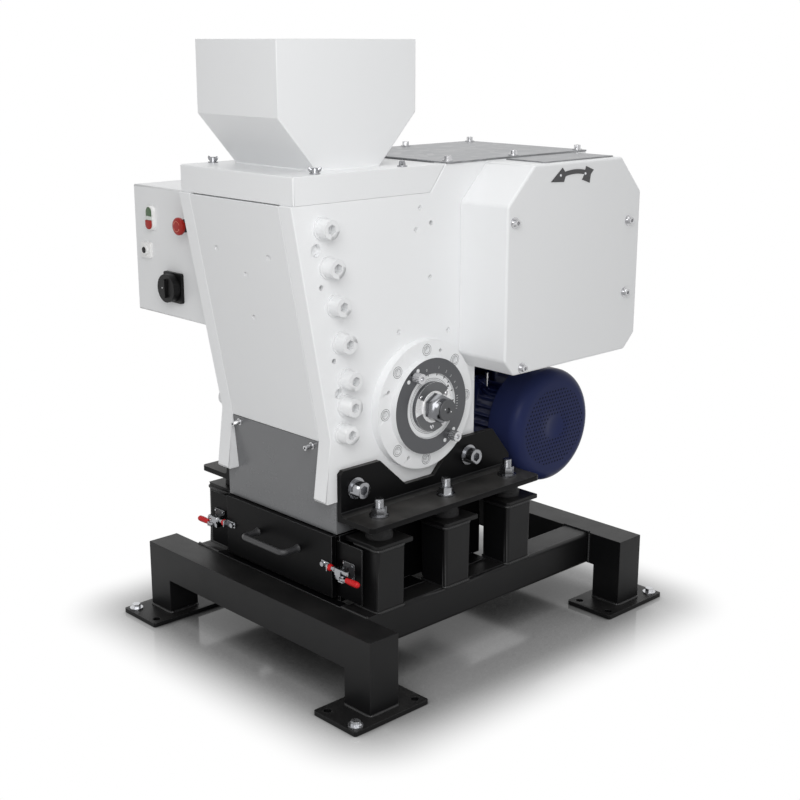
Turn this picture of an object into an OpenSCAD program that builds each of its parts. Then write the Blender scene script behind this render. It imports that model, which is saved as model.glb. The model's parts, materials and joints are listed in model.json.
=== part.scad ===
// Floor-standing laboratory jaw crusher on a welded square tube frame.
// The feed hopper is on top, the crushing chamber at the front, the drawer under it.
// Frame: origin on the floor at the centre of the base frame, -Y is the drawer side,
// +X is the side with the gap dial, +Z is up. Millimetres.

/* [Base frame] */
// Length of the front and rear cross beams
beam_l = 800; // [780:2:860]
// Side of the square tube that the frame is welded from
tube = 80; // [76:1:84]
// Wall of the square tube
tube_wall = 5; // [4:0.5:8]
// Depth of the frame over the two cross beams
frame_d = 908; // [900:2:980]
// Height of the top of the beams above the floor
beam_top = 175; // [165:1:200]
// Distance across the outer faces of the two side rails
rail_span = 606; // [602:1:620]
// Width of a foot plate, across the machine
foot_w = 132; // [128:1:150]
// Length of a foot plate, along the machine
foot_l = 210; // [200:1:240]
// Thickness of a foot plate
foot_t = 10; // [8:0.5:15]
// Bore of the anchor holes in the foot plates
anchor_d = 18; // [14:0.5:20]
// Spacing of the anchor holes across a foot plate
anchor_x = 88; // [84:1:92]
// Spacing of the anchor holes along a foot plate
anchor_y = 168; // [160:1:172]
// Distance from one post to the next
post_pitch = 204.5; // [190:0.5:215]
// Distance of the first post's front face ahead of the centre
post_front = 342; // [335:1:350]
// Side of the square cap plates on the posts
cap_w = 103; // [98:1:106]
// Thickness of the cap plates
cap_t = 10; // [6:0.5:14]
// Height of the top of the cap plates above the floor
cap_top = 326; // [324:1:345]

/* [Rubber mounts and brackets] */
// Height of the rubber mounts
mount_h = 34; // [25:1:50]
// Diameter of the rubber mounts
mount_d = 60; // [50:1:80]
// Thickness of the angle brackets
brk_t = 12; // [8:0.5:16]
// Width of the lying leg of the angle brackets
brk_w = 112; // [108:1:125]
// Height of the standing leg of the angle brackets
brk_h = 115; // [105:1:125]
// Diameter of the studs through the rubber mounts
stud_d = 20; // [16:1:22]

/* [Crusher body] */
// Distance from a side rail's outer face in to the side plate's outer face
body_inset = 111; // [109:0.5:115]
// Thickness of the side plates
cheek_t = 40; // [34:1:44]
// Height of the body's top above the drive shaft
shaft_top = 232; // [224:1:250]
// Depth of the step that the hood sits in
hood_h = 58; // [50:1:64]
// Distance of the front face ahead of the centre at the hood
face_top_y = 470; // [465:1:480]
// Distance of the front face ahead of the centre at its lower edge
face_low_y = 374; // [370:1:380]
// Diameter of the head of the big side screws
screw_head_d = 40; // [36:0.5:42]
// Thickness of the front plate
front_t = 25; // [20:0.5:32]
// Thickness of the jaw plates
jaw_t = 30; // [24:0.5:34]
// Thickness of the steel side liners
liner_t = 7; // [5:0.5:8]

/* [Feed hopper] */
// Distance from the side plate's outer face in to the hopper's side
hopper_inset = 57; // [52:1:72]
// Length of the hopper's mouth along the machine
hopper_l = 380; // [340:1:400]
// Length of the hopper's throat along the machine
throat_l = 176; // [150:1:190]
// Height of the tapered part
hopper_taper_h = 110; // [90:1:130]
// Height of the straight upper part
hopper_top_h = 151; // [120:1:180]
// Sheet thickness of the hopper
hopper_wall = 4; // [3:0.5:6]
// Wall of the hood under the hopper
hood_wall = 5; // [4:0.5:8]
// Lift of the hood and hopper when they are taken off
hood_lift = 120; // [80:1:200]

/* [Gap setting] */
// Height of the setting spindle above the bracket seat
spindle_h = 219; // [215:1:224]
// Diameter of the bearing flange
flange_d = 292; // [288:1:296]
// Thickness of the bearing flange
flange_t = 22; // [18:0.5:25]
// Outer diameter of the scale ring
dial_d = 218; // [214:1:222]
// Thickness of the scale ring
dial_t = 16; // [12:0.5:18]
// Diameter of the window in the scale ring
dial_bore = 147; // [143:1:150]
// Width across the flats of the spindle's hexagon
hex_af = 56; // [50:1:60]
// Diameter of the spindle's journals
spindle_d = 60; // [54:0.5:62]
// Offset of the spindle's eccentric
gap_ecc = 10; // [6:0.5:10]

/* [Drive] */
// Distance of the drive shaft behind the centre
shaft_y = 246; // [244:1:248]
// Height of the drive shaft above the bracket seat
shaft_h = 510; // [505:1:515]
// Diameter of the drive shaft
shaft_d = 70; // [60:0.5:76]
// Diameter of the flywheels
wheel_d = 376; // [360:1:380]
// Width of the flywheels
wheel_w = 80; // [70:1:90]
// Depth of the flywheel cover, outward from the side plate
cover_w = 141; // [135:1:150]
// Sheet thickness of the covers
cover_wall = 3; // [2:0.5:4]
// Distance of the motor behind the centre
motor_y = 328; // [324:1:330]
// Height of the motor's axis above the bracket seat
motor_h = 82; // [80:1:90]
// Outer diameter of the motor's fan cowl
cowl_d = 282; // [270:1:284]
// Diameter of the motor's pulley
pulley_d = 140; // [120:1:150]

/* [Control box] */
// Width of the control box
box_w = 296; // [285:1:320]
// Height of the control box
box_h = 299; // [290:1:320]
// Depth of the control box without its door
box_d = 181; // [160:1:185]
// Thickness of the control box door
door_t = 18; // [15:0.5:22]
// Diameter of the emergency stop button
estop_d = 40; // [36:0.5:42]
// Side of the main switch's plate
switch_w = 70; // [60:1:72]

/* [Drawer and clamps] */
// Height of the drawer
drawer_h = 142; // [130:1:143]
// Length of the drawer behind its front
drawer_l = 430; // [400:1:440]
// Sheet thickness of the drawer
drawer_wall = 3; // [2:0.5:4]
// Distance between the feet of the drawer's handle
handle_l = 144; // [110:1:160]
// Diameter of the drawer's handle
handle_d = 14; // [10:0.5:16]
// Diameter of the clamp plungers
plunger_d = 10; // [8:0.5:11]

/* [Fits] */
// Radial clearance of shafts and pins that turn or slide
run_fit = 0.05; // [0.03:0.01:0.08]
// Gap between pieces that are bolted or lie side by side
seam = 0.3; // [0.25:0.05:0.4]

/* [Hidden] */
$fn = 64;
white = [0.86, 0.87, 0.87];
black = [0.10, 0.10, 0.11];
steel = [0.70, 0.71, 0.73];
galv = [0.56, 0.57, 0.58];
navy = [0.12, 0.16, 0.38];
red = [0.75, 0.12, 0.12];
green = [0.22, 0.42, 0.20];
dark = [0.28, 0.29, 0.30];

// Heights: the bracket seat carries the whole crusher
seat = cap_top + mount_h;
brk_top = seat + brk_t;
cheek_z = seat + 43;
shaft_z = seat + shaft_h;
body_top = shaft_z + shaft_top;
hood_z = body_top - hood_h;
face_low_z = seat + 182;
rear_z = shaft_z - 230;
plate_low_z = face_low_z - 9;

// Widths of the body
out_x = rail_span / 2 - body_inset;
in_x = out_x - cheek_t;
jaw_x = in_x - seam - liner_t - 0.8;
hopper_w = 2 * (out_x - hopper_inset);

// Outline values of the side plates, in Y
toe_y = -face_low_y - 17;
notch_y = 67;
rear_y = 445;
step_low_y = -81;
step_top_y = -36;
face_run = (face_top_y - face_low_y) / (hood_z - face_low_z);
face_tilt = atan(face_run);
function face_y(z) = -face_top_y + (hood_z - z) * face_run;

// Crushing chamber
carrier_t = 65;
jaw_low_z = seat + 200;
jaw_top_z = hood_z - 34;
jaw_gap = 25;
function fixed_y(z) = face_y(z) + front_t + carrier_t + jaw_t;
swing_top_y = -160;
swing_low_y = fixed_y(jaw_low_z) + jaw_gap;

// Setting spindle: the rest angle of its eccentric, measured from +Y
spindle_y = -112;
spindle_z = seat + spindle_h;
ecc_rest = 40;
ecc_y = spindle_y + gap_ecc * cos(ecc_rest);
ecc_z = spindle_z + gap_ecc * sin(ecc_rest);
ecc_r = spindle_d / 2 + gap_ecc + 2;
hub_r = ecc_r + 22;
dial_x = out_x + flange_t;
dial_out = dial_x + dial_t;
boss_r = dial_bore / 2 - 0.8;
clamp_r = (dial_d + dial_bore) / 4 + 3.25;
clamp_a = 126.5;

// Drive shaft
shaft_r = shaft_d / 2;
shaft_ecc = 5;
shaft_ecc_r = shaft_r + shaft_ecc + 5;
wheel_x = out_x + 15;
cover_x = out_x + cover_w;
cov_y0 = 12;
cov_y1 = 480;
cov_z0 = rear_z - 1;
cov_z1 = body_top - 2;
guard_top = body_top - 22;

// Motor
motor_z = seat + motor_h;
core_r = 100;
fin_r = 118;
rotor_r = 19;
motor_x0 = -out_x + 7;
motor_x1 = 150;
cowl_r = cowl_d / 2;
cowl_x0 = 120;
cowl_x1 = 212;
console_y = motor_y - 138;

// Belts and grooves
belt_n = 4;
belt_pitch = 18;
belt_w = 11.8;
groove_w = 13;
groove_h = 11;

// Chute, cabinet and drawer
half_cab = out_x + 7;
drawer_z = beam_top + 11;
drawer_top = drawer_z + drawer_h;
chute_z = max(drawer_top + 2, cap_top + 2);
chute_x = out_x - 1;
chute_y0 = -face_low_y + 14;
chute_y1 = 60;
apron_lean = -13;
apron_z = cheek_z - seam - 3;
apron_h = plate_low_z - seam - apron_z;
drawer_x = half_cab - 11;
drawer_y = -face_low_y + 2;
front_d = 12;
clamp_z = beam_top + 85;
handle_z = beam_top + 93;
handle_out = 44;
latch_y = drawer_y - 7;
clamp_face = drawer_y + front_d + 2;
plunger_stroke = 8;
lever_z = clamp_z - 12;
lever_x = drawer_x + 48;
lever_y = latch_y - 4;

// Control box
box_gap = 5;
box_x1 = -out_x - box_gap;
box_x0 = box_x1 - box_w;
box_z0 = seat + 372;
box_z1 = box_z0 + box_h;
door_y = -390;
box_y0 = door_y + door_t + 0.5;
box_y1 = box_y0 + box_d;
hinge_x = box_x0 - 5;
hinge_y = door_y + 10;
duo_x = box_x1 - 223;
duo_z = box_z1 - 73;
duo_w = 30;
duo_h = 58;
reset_x = duo_x - 23.5;
reset_z = duo_z - 77;
stop_x = box_x1 - 76;
stop_z = duo_z - 3;
main_x = box_x1 - 140;
main_z = box_z0 + 73;

// Big side screws: distance behind the front face for the upper five, then two by place
screw_pitch = (hood_z - 49 - seat - 311) / 4;
upper_screws = [for (i = [0 : 4]) hood_z - 49 - screw_pitch * i];
side_screws = concat([for (z = upper_screws) [face_y(z) + 70, z]],
    [[-331, seat + 254], [-340, seat + 196]]);
wing_x = out_x - 20;
wing_y = [-390, -148];
wing_spots = [for (y = wing_y, s = [-1, 1]) [s * wing_x, y]];
top_bolt_x = out_x - 14;
top_bolt_y = [-16, 198, 428];
cover_spots = [[cov_y0 + 21, cov_z1 - 119], [cov_y1 - 45, cov_z1 - 149],
    [cov_y1 - 48, cov_z0 + 141], [cov_y0 + 56, cov_z0 + 15]];

// Extrudes a profile drawn in Y and Z from x0 to x1
module yz(x0, x1) {
    translate([x0, 0, 0])
        rotate([90, 0, 90])
            linear_extrude(x1 - x0)
                children();
}

// Extrudes a profile drawn in X and Z from y0 to y1
module xz(y0, y1) {
    translate([0, y1, 0])
        rotate([90, 0, 0])
            linear_extrude(y1 - y0)
                children();
}

// Round bar along X
module bar_x(r, x0, x1, y, z) {
    translate([x0, y, z])
        rotate([0, 90, 0])
            cylinder(r = r, h = x1 - x0);
}

// Round bar along Y
module bar_y(r, y0, y1, x, z) {
    translate([x, y1, z])
        rotate([90, 0, 0])
            cylinder(r = r, h = y1 - y0);
}

// Round bar along Z
module bar_z(r, z0, z1, x, y) {
    translate([x, y, z0])
        cylinder(r = r, h = z1 - z0);
}

// Block given by its two corners
module block(a, b) {
    translate(a)
        cube(b - a);
}

// Rectangle with true round corners
module round_rect(w, h, r) {
    square([w - 2 * r, h], center = true);
    square([w, h - 2 * r], center = true);
    for (sx = [-1, 1], sy = [-1, 1])
        translate([sx * (w / 2 - r), sy * (h / 2 - r)])
            circle(r = r);
}

// Socket head screw that points along -Z, with its washer's underside at the origin
module socket_screw(head_r, head_h, washer_r, washer_t, socket_af) {
    cylinder(r = washer_r, h = washer_t);
    difference() {
        translate([0, 0, washer_t])
            cylinder(r = head_r, h = head_h);
        translate([0, 0, washer_t + head_h * 0.45])
            cylinder(r = socket_af / sqrt(3), h = head_h, $fn = 6);
    }
}

// Copies a child to both sides, standing out from the side plates
module both_sides() {
    children();
    mirror([1, 0, 0])
        children();
}

// Foot plate with its four anchor holes
module foot_plate() {
    difference() {
        linear_extrude(foot_t)
            round_rect(foot_w, foot_l, 6);
        for (sx = [-1, 1], sy = [-1, 1])
            translate([sx * anchor_x / 2, sy * anchor_y / 2, -1])
                cylinder(d = anchor_d, h = foot_t + 2);
    }
}

foot_cx = (beam_l - tube) / 2;
foot_cy = (frame_d - tube) / 2;

// Beam and legs of a trestle, drawn inward by d
module trestle_tubes(d) {
    block([-beam_l / 2 + d, -frame_d / 2 + d, beam_top - tube + d],
        [beam_l / 2 - d, -frame_d / 2 + tube - d, beam_top - d]);
    for (s = [-1, 1])
        translate([s * (beam_l - tube) / 2 - tube / 2 + d, -frame_d / 2 + d, foot_t])
            cube([tube - 2 * d, tube - 2 * d, beam_top - tube - foot_t + d]);
}

// Front cross beam with its two legs and foot plates, and a drain hole below
module trestle() {
    difference() {
        trestle_tubes(0);
        trestle_tubes(tube_wall);
        bar_z(5, beam_top - tube - 1, beam_top - tube + tube_wall + 1, 0, -frame_d / 2 + tube / 2);
    }
    for (s = [-1, 1])
        translate([s * foot_cx, -foot_cy, 0])
            foot_plate();
}

module front_trestle() {
    color(black)
        trestle();
}

module rear_trestle() {
    color(black)
        mirror([0, 1, 0])
            trestle();
}

function post_y(i) = -post_front + i * post_pitch;
function cap_cy(i) = post_y(i) + cap_w / 2;
cap_cx = rail_span / 2 - cap_w / 2;

rail_cx = (rail_span - tube) / 2;

// Rail and posts of one side, drawn inward by d
module rail_tubes(d) {
    block([rail_span / 2 - tube + d, -frame_d / 2 + tube + d, beam_top - tube + d],
        [rail_span / 2 - d, frame_d / 2 - tube - d, beam_top - d]);
    for (i = [0 : 2])
        block([rail_span / 2 - tube + d, post_y(i) + d, beam_top - 2 * d],
            [rail_span / 2 - d, post_y(i) + tube - d, cap_top - cap_t]);
}

// Side rail with its three capped posts; side is 1 for +X
module side_rail(side) {
    mirror([side < 0 ? 1 : 0, 0, 0])
        difference() {
            union() {
                rail_tubes(0);
                for (i = [0 : 2])
                    block([rail_span / 2 - cap_w, post_y(i), cap_top - cap_t],
                        [rail_span / 2, post_y(i) + cap_w, cap_top]);
            }
            rail_tubes(tube_wall);
            bar_z(5, beam_top - tube - 1, beam_top - tube + tube_wall + 1, rail_cx, 0);
            for (i = [0 : 2])
                translate([cap_cx, cap_cy(i), cap_top - cap_t - 30])
                    cylinder(d = stud_d + 1, h = cap_t + 31);
        }
}

module side_rail_left() {
    color(black)
        side_rail(-1);
}

module side_rail_right() {
    color(black)
        side_rail(1);
}

// Hexagon bolt with washer, its washer's underside at the origin
module hex_bolt(af, head_h, washer_r, shank_r, shank_l) {
    cylinder(r = washer_r, h = 3);
    translate([0, 0, 3])
        cylinder(r = af / sqrt(3), h = head_h, $fn = 6);
    translate([0, 0, -shank_l])
        cylinder(r = shank_r, h = shank_l + 1);
}

module anchor_bolts() {
    color(steel)
        for (sx = [-1, 1], sy = [-1, 1])
            translate([sx * (foot_cx + anchor_x / 2), sy * (foot_cy + anchor_y / 2), foot_t])
                hex_bolt(18, 9, anchor_d / 2 + 7, anchor_d / 2 - 1.5, foot_t);
}

module rubber_mounts() {
    color(black)
        for (s = [-1, 1], i = [0 : 2])
            translate([s * cap_cx, cap_cy(i), cap_top])
                difference() {
                    rotate_extrude()
                        difference() {
                            square([mount_d / 2, mount_h]);
                            translate([mount_d / 2 + 9, mount_h / 2])
                                circle(r = 12);
                        }
                    translate([0, 0, -1])
                        cylinder(d = stud_d, h = mount_h + 2);
                }
}

brk_y0 = -358;
brk_y1 = 177;
brk_spots = [[-316, seat + 70], [34, seat + 70]];

// Standing leg of the bracket, with the notch that clears the bearing flange
module bracket_profile() {
    difference() {
        polygon([[brk_y0, seat], [brk_y1, seat], [brk_y1, seat + 42], [118, seat + brk_h],
            [-5, seat + brk_h], [-76, seat + 44], [-166, seat + 44],
            [-243, seat + brk_h], [brk_y0 + 8, seat + brk_h], [brk_y0, seat + brk_h - 8]]);
        for (p = brk_spots)
            translate(p)
                circle(d = 25);
    }
}

module bracket(side) {
    mirror([side < 0 ? 1 : 0, 0, 0]) {
        yz(out_x + seam, out_x + seam + brk_t)
            bracket_profile();
        difference() {
            translate([out_x + seam + brk_w / 2, (brk_y0 + brk_y1) / 2, seat])
                linear_extrude(brk_t)
                    difference() {
                        round_rect(brk_w, brk_y1 - brk_y0, 12);
                        translate([-brk_w / 2 - 20, -brk_y1 + brk_y0])
                            square([20, 2 * (brk_y1 - brk_y0)]);
                    }
            for (i = [0 : 2])
                translate([cap_cx, cap_cy(i), seat - 1])
                    cylinder(d = stud_d + 1, h = brk_t + 2);
        }
        block([out_x + seam, brk_y0, seat], [out_x + seam + 14, brk_y1, seat + brk_t]);
    }
}

module bracket_left() {
    color(black)
        bracket(-1);
}

module bracket_right() {
    color(black)
        bracket(1);
}

// Cap screws through the standing legs, studs with nuts through the rubber mounts
module bracket_fasteners() {
    color(steel)
        both_sides() {
            for (p = brk_spots)
                translate([out_x + seam + brk_t, p[0], p[1]])
                    rotate([0, 90, 0]) {
                        socket_screw(18, 24, 24, 4, 19);
                        translate([0, 0, -brk_t - 20])
                            cylinder(d = 24, h = brk_t + 21);
                    }
            for (i = [0 : 2])
                translate([cap_cx, cap_cy(i), 0]) {
                    translate([0, 0, cap_top - cap_t - 6])
                        cylinder(d = stud_d, h = brk_top - cap_top + cap_t + 46);
                    translate([0, 0, brk_top])
                        cylinder(r = stud_d * 1.1, h = 4);
                    translate([0, 0, brk_top + 4])
                        cylinder(r = stud_d * 0.86, h = 16, $fn = 6);
                }
        }
}

// Outline of a side plate: the feed end leans forward, the foot runs out again
module cheek_profile() {
    difference() {
        polygon([[-face_top_y, hood_z], [-face_low_y, face_low_z], [toe_y, cheek_z + 6],
            [toe_y + 6, cheek_z], [notch_y, cheek_z], [notch_y, rear_z], [rear_y, rear_z],
            [rear_y, body_top], [step_top_y, body_top], [step_low_y, hood_z]]);
        translate([spindle_y, spindle_z])
            circle(r = hub_r + 14);
        translate([shaft_y, shaft_z])
            circle(r = shaft_r + run_fit);
        for (p = side_screws)
            translate(p)
                circle(d = 25);
        for (p = brk_spots)
            translate(p)
                circle(d = 24.6);
        for (p = [[face_y(seat + 591) + 46, seat + 591, 27], [face_y(seat + 283) + 43, seat + 283, 21]])
            translate([p[0], p[1]])
                circle(d = p[2]);
        for (p = [[-394, 514], [-362, 355], [-114, 653], [-126, 607], [-80, 618],
            [-82, 499], [-176, 390], [-24, 372]])
            translate([p[0], seat + p[1]])
                circle(d = 11);
    }
}

module cheek(side) {
    mirror([side < 0 ? 1 : 0, 0, 0])
        difference() {
            yz(in_x, out_x)
                cheek_profile();
            for (y = wing_y)
                bar_z(6.5, hood_z - 35, hood_z + 1, wing_x, y);
        }
}

module cheek_left() {
    color(white)
        cheek(-1);
}

module cheek_right() {
    color(white)
        cheek(1);
}

flange_bolt_r = flange_d / 2 - 21;

// Big side screws of one side; behind the control box they end flush with the side plate
module side_screw_set(spots, left) {
    for (p = spots) {
        flush = left && p[1] > box_z0 - 30;
        translate([out_x, p[0], p[1]])
            rotate([0, 90, 0]) {
                if (!flush)
                    socket_screw(screw_head_d / 2, 28, screw_head_d / 2 + 4, 4, 19);
                translate([0, 0, -cheek_t - 20])
                    cylinder(d = 24, h = cheek_t + (flush ? 20 : 21));
            }
    }
}

// Big cap screws of the side plates and the countersunk ring of flange screws
module cheek_screws() {
    color(white) {
        side_screw_set(side_screws, false);
        mirror([1, 0, 0])
            side_screw_set(side_screws, true);
        both_sides()
            for (a = [0 : 45 : 315])
                translate([out_x + flange_t - 12, spindle_y + flange_bolt_r * cos(a),
                    spindle_z + flange_bolt_r * sin(a)])
                    rotate([0, 90, 0])
                        difference() {
                            cylinder(r = 8, h = 10);
                            translate([0, 0, 5])
                                cylinder(r = 5.5, h = 6, $fn = 6);
                        }
    }
}

front_top_z = hood_z - 2;
plug_spots = [[63 - in_x, 569], [in_x - 63, 569], [0, 522], [0, 427]];

// Front plate with the solid jaw carrier behind it
module front_plate() {
    color(white)
        difference() {
            yz(-in_x + seam, in_x - seam)
                polygon([[face_y(front_top_z), front_top_z], [face_y(plate_low_z), plate_low_z],
                    [face_y(plate_low_z) + front_t, plate_low_z],
                    [face_y(jaw_low_z) + front_t + carrier_t, jaw_low_z],
                    [face_y(jaw_top_z) + front_t + carrier_t, jaw_top_z],
                    [face_y(jaw_top_z + 8) + front_t, jaw_top_z + 8],
                    [face_y(front_top_z) + front_t, front_top_z]]);
            for (p = side_screws, s = [-1, 1])
                translate([s * (in_x - 11), p[0], p[1]])
                    rotate([0, 90, 0])
                        cylinder(d = 24, h = 24, center = true);
            for (p = plug_spots)
                translate([p[0], face_y(seat + p[1]), seat + p[1]])
                    rotate([90 - face_tilt, 0, 0])
                        cylinder(d = 14, h = 4, center = true);
        }
}

// One jaw plate: flat back, a row of upright crushing ribs in front
module jaw_ribs(w, t, n, depth) {
    pitch = w / n;
    polygon(concat([[w / 2, 0], [-w / 2, 0]],
        [for (i = [0 : n - 1], k = [0 : 2])
            [-w / 2 + pitch * (i + k / 2), t - (k == 1 ? 0 : depth)]]));
}

// Fixed jaw: leans with the front face
module fixed_jaw_plate() {
    h = (jaw_top_z - jaw_low_z) / cos(face_tilt);
    color(steel)
        translate([0, face_y(jaw_low_z) + front_t + carrier_t, jaw_low_z])
            rotate([face_tilt, 0, 0])
                translate([0, 1, 2])
                    linear_extrude(h - 8)
                        jaw_ribs(2 * jaw_x, jaw_t - 3, 12, 10);
}

// Steel liners on the inner faces of the side plates
module side_liners() {
    color(steel)
        both_sides()
            yz(in_x - seam - liner_t, in_x - seam)
                polygon([[fixed_y(jaw_low_z) - jaw_t + 2, jaw_low_z],
                    [fixed_y(jaw_top_z) - jaw_t + 2, jaw_top_z],
                    [swing_top_y - 6, jaw_top_z], [swing_low_y + 30, jaw_low_z]]);
}

// Sheet chute: a skirt on the drawer cabinet and a leaning apron between the legs
module chute() {
    t = 3;
    apron_x = in_x - seam;
    color([0.42, 0.43, 0.45]) {
        difference() {
            block([-chute_x, chute_y0, chute_z], [chute_x, chute_y1, cheek_z - seam]);
            block([-chute_x + t, chute_y0 + t, chute_z - 1],
                [chute_x - t, chute_y1 - t, cheek_z + 1]);
        }
        yz(-apron_x, apron_x)
            polygon([[chute_y0, apron_z], [chute_y0 + t, apron_z],
                [chute_y0 + t + apron_lean, apron_z + apron_h],
                [chute_y0 + apron_lean, apron_z + apron_h]]);
        yz(-apron_x, apron_x)
            polygon([[notch_y - 30, apron_z], [chute_y1, apron_z], [chute_y1, apron_z + t],
                [notch_y - 30, apron_z + t], [-168 + t, seat + 138], [-168, seat + 134]]);
    }
}

// Cap screws with washers on the covers, the top plates and the chute
module cover_screws() {
    color(steel) {
        for (p = cover_spots)
            translate([cover_x, p[0], p[1]])
                rotate([0, 90, 0])
                    socket_screw(8, 9, 12, 2.5, 8);
        for (p = cover_spots)
            if (p[1] > rear_z + 30)
                translate([-cover_x, p[0], p[1] - 20])
                    rotate([0, -90, 0])
                        socket_screw(8, 9, 12, 2.5, 8);
        for (s = [-1, 1], y = top_bolt_y)
            translate([s * top_bolt_x, y, body_top + 4])
                socket_screw(8, 9, 12, 2.5, 8);
        for (s = [-1, 1])
            translate([s * (in_x - 24), chute_y0 - 0.1 + apron_lean * (seat + 160 - apron_z) / apron_h, seat + 160])
                rotate([90 - atan(apron_lean / apron_h), 0, 0])
                    socket_screw(5.5, 19, 8, 2, 5);
    }
}

// Galvanised plates on the body and on the flywheel cover
module top_plates() {
    color(galv) {
        difference() {
            block([-out_x - 3, step_top_y + 2, body_top], [out_x + 3, rear_y + 1, body_top + 4]);
            block([out_x, cov_y0 + 80, body_top - 1], [out_x + 4, cov_y1, body_top + 5]);
        }
        block([out_x + 8, cov_y0 + 138, cov_z1], [cover_x - 19, cov_y1 - 88, cov_z1 + 3]);
    }
}

// Inner rear wall, floor and back of the housing, bent from one plate
module rear_housing() {
    color(white)
        yz(-in_x + seam, in_x - seam)
            polygon([[notch_y - 20, cheek_z], [notch_y, cheek_z], [notch_y, rear_z],
                [rear_y, rear_z], [rear_y, body_top - seam], [rear_y - 15, body_top - seam],
                [rear_y - 15, rear_z + 15], [notch_y - 20, rear_z + 15]]);
}

// Bearing flange with its ring of counterbores; dial_side gets the boss
module flange(dial_side) {
    difference() {
        union() {
            bar_x(flange_d / 2, out_x, out_x + flange_t, spindle_y, spindle_z);
            bar_x(hub_r + 13.7, in_x + 2, out_x + 1, spindle_y, spindle_z);
            if (dial_side)
                bar_x(boss_r, out_x, dial_out - 4, spindle_y, spindle_z);
        }
        bar_x(spindle_d / 2 + run_fit, in_x, out_x + flange_t + dial_t, spindle_y, spindle_z);
        for (a = [0 : 45 : 315])
            bar_x(8.3, out_x + flange_t - 12, out_x + flange_t + 1,
                spindle_y + flange_bolt_r * cos(a), spindle_z + flange_bolt_r * sin(a));
        for (a = [70, 157, 244])
            bar_x(4, out_x + flange_t - 8, out_x + flange_t + 1,
                spindle_y + flange_bolt_r * cos(a), spindle_z + flange_bolt_r * sin(a));
    }
}

module bearing_flanges() {
    color(white) {
        flange(true);
        mirror([1, 0, 0])
            flange(false);
    }
}

module dial_ring() {
    color(dark)
        difference() {
            bar_x(dial_d / 2, dial_x, dial_out, spindle_y, spindle_z);
            bar_x(dial_bore / 2, dial_x - 1, dial_out + 1, spindle_y, spindle_z);
            for (a = [clamp_a, clamp_a + 180])
                bar_x(6.4, dial_x - 1, dial_out + 1,
                    spindle_y + clamp_r * cos(a), spindle_z + clamp_r * sin(a));
        }
}

// Eight-sided outline of the flywheel cover, drawn inward by d
module cover_profile(d, y0, y1, z0, z1) {
    k = 0.586 * d;
    polygon([[y0 + d, z0 + 36 - k + d], [y0 + 32 - k + d, z0 + d], [y1 - 38 + k - d, z0 + d],
        [y1 - d, z0 + 36 - k + d], [y1 - d, z1 - 83 + k - d], [y1 - 76 + k - d, z1 - d],
        [y0 + 84 - k + d, z1 - d], [y0 + d, z1 - 83 + k - d]]);
}

module flywheel_cover() {
    t = cover_wall;
    color(white)
        difference() {
            union() {
                difference() {
                    yz(out_x + seam, cover_x)
                        cover_profile(0, cov_y0, cov_y1, cov_z0, cov_z1);
                    yz(out_x, cover_x - t)
                        cover_profile(t, cov_y0, cov_y1, cov_z0, cov_z1);
                }
                for (p = cover_spots)
                    bar_x(8, out_x + seam, cover_x - 1, p[0], p[1]);
            }
            bar_x(shaft_r + 4, out_x, out_x + seam + 1, shaft_y, shaft_z);
        }
}

// Outline of the belt guard: the cover's shape with a leg down to the motor
module guard_profile(d) {
    polygon([[cov_y0 + d, guard_top - 83 - 0.4 * d], [cov_y0 + 84 + 0.4 * d, guard_top - d],
        [cov_y1 - 76 - 0.4 * d, guard_top - d], [cov_y1 - d, guard_top - 83 - 0.4 * d],
        [cov_y1 - d, motor_z - 60 + 0.4 * d], [cov_y1 - 40 - 0.4 * d, motor_z - 97 + d],
        [motor_y - 94 + 0.4 * d, motor_z - 97 + d], [motor_y - 130 + d, motor_z - 61 + 0.4 * d],
        [motor_y - 130 + d, motor_z + 90 - 0.3 * d], [cov_y0 + d, rear_z + 60 + 0.6 * d]]);
}

module belt_guard() {
    t = cover_wall;
    color(white) {
        difference() {
            yz(-cover_x, -out_x - seam)
                guard_profile(0);
            yz(-cover_x + t, -out_x + 1)
                guard_profile(t);
        }
        difference() {
            intersection() {
                yz(-out_x - seam - t, -out_x - seam)
                    guard_profile(0);
                block([-cover_x, cov_y0, 0], [0, cov_y1, rear_z - 2]);
            }
            bar_x(rotor_r + 12, -cover_x, 0, motor_y, motor_z);
        }
        for (p = cover_spots)
            if (p[1] > rear_z + 30)
                bar_x(8, -cover_x + 1, -out_x - seam, p[0], p[1] - 20);
    }
}

// Welded console that carries the motor on the back of the body
module motor_console() {
    color(black) {
        difference() {
            block([-150, console_y - 12, motor_z - 112], [60, console_y, rear_z]);
            for (x = [-130, 40], z = [-90, 90])
                bar_y(6, console_y - 13, console_y + 1, x, motor_z + z);
        }
        block([-150, notch_y, rear_z - 12], [60, console_y, rear_z]);
        for (x = [-150, 48])
            block([x, notch_y, motor_z - 40], [x + 12, console_y, rear_z]);
    }
}

fins = 32;

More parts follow.
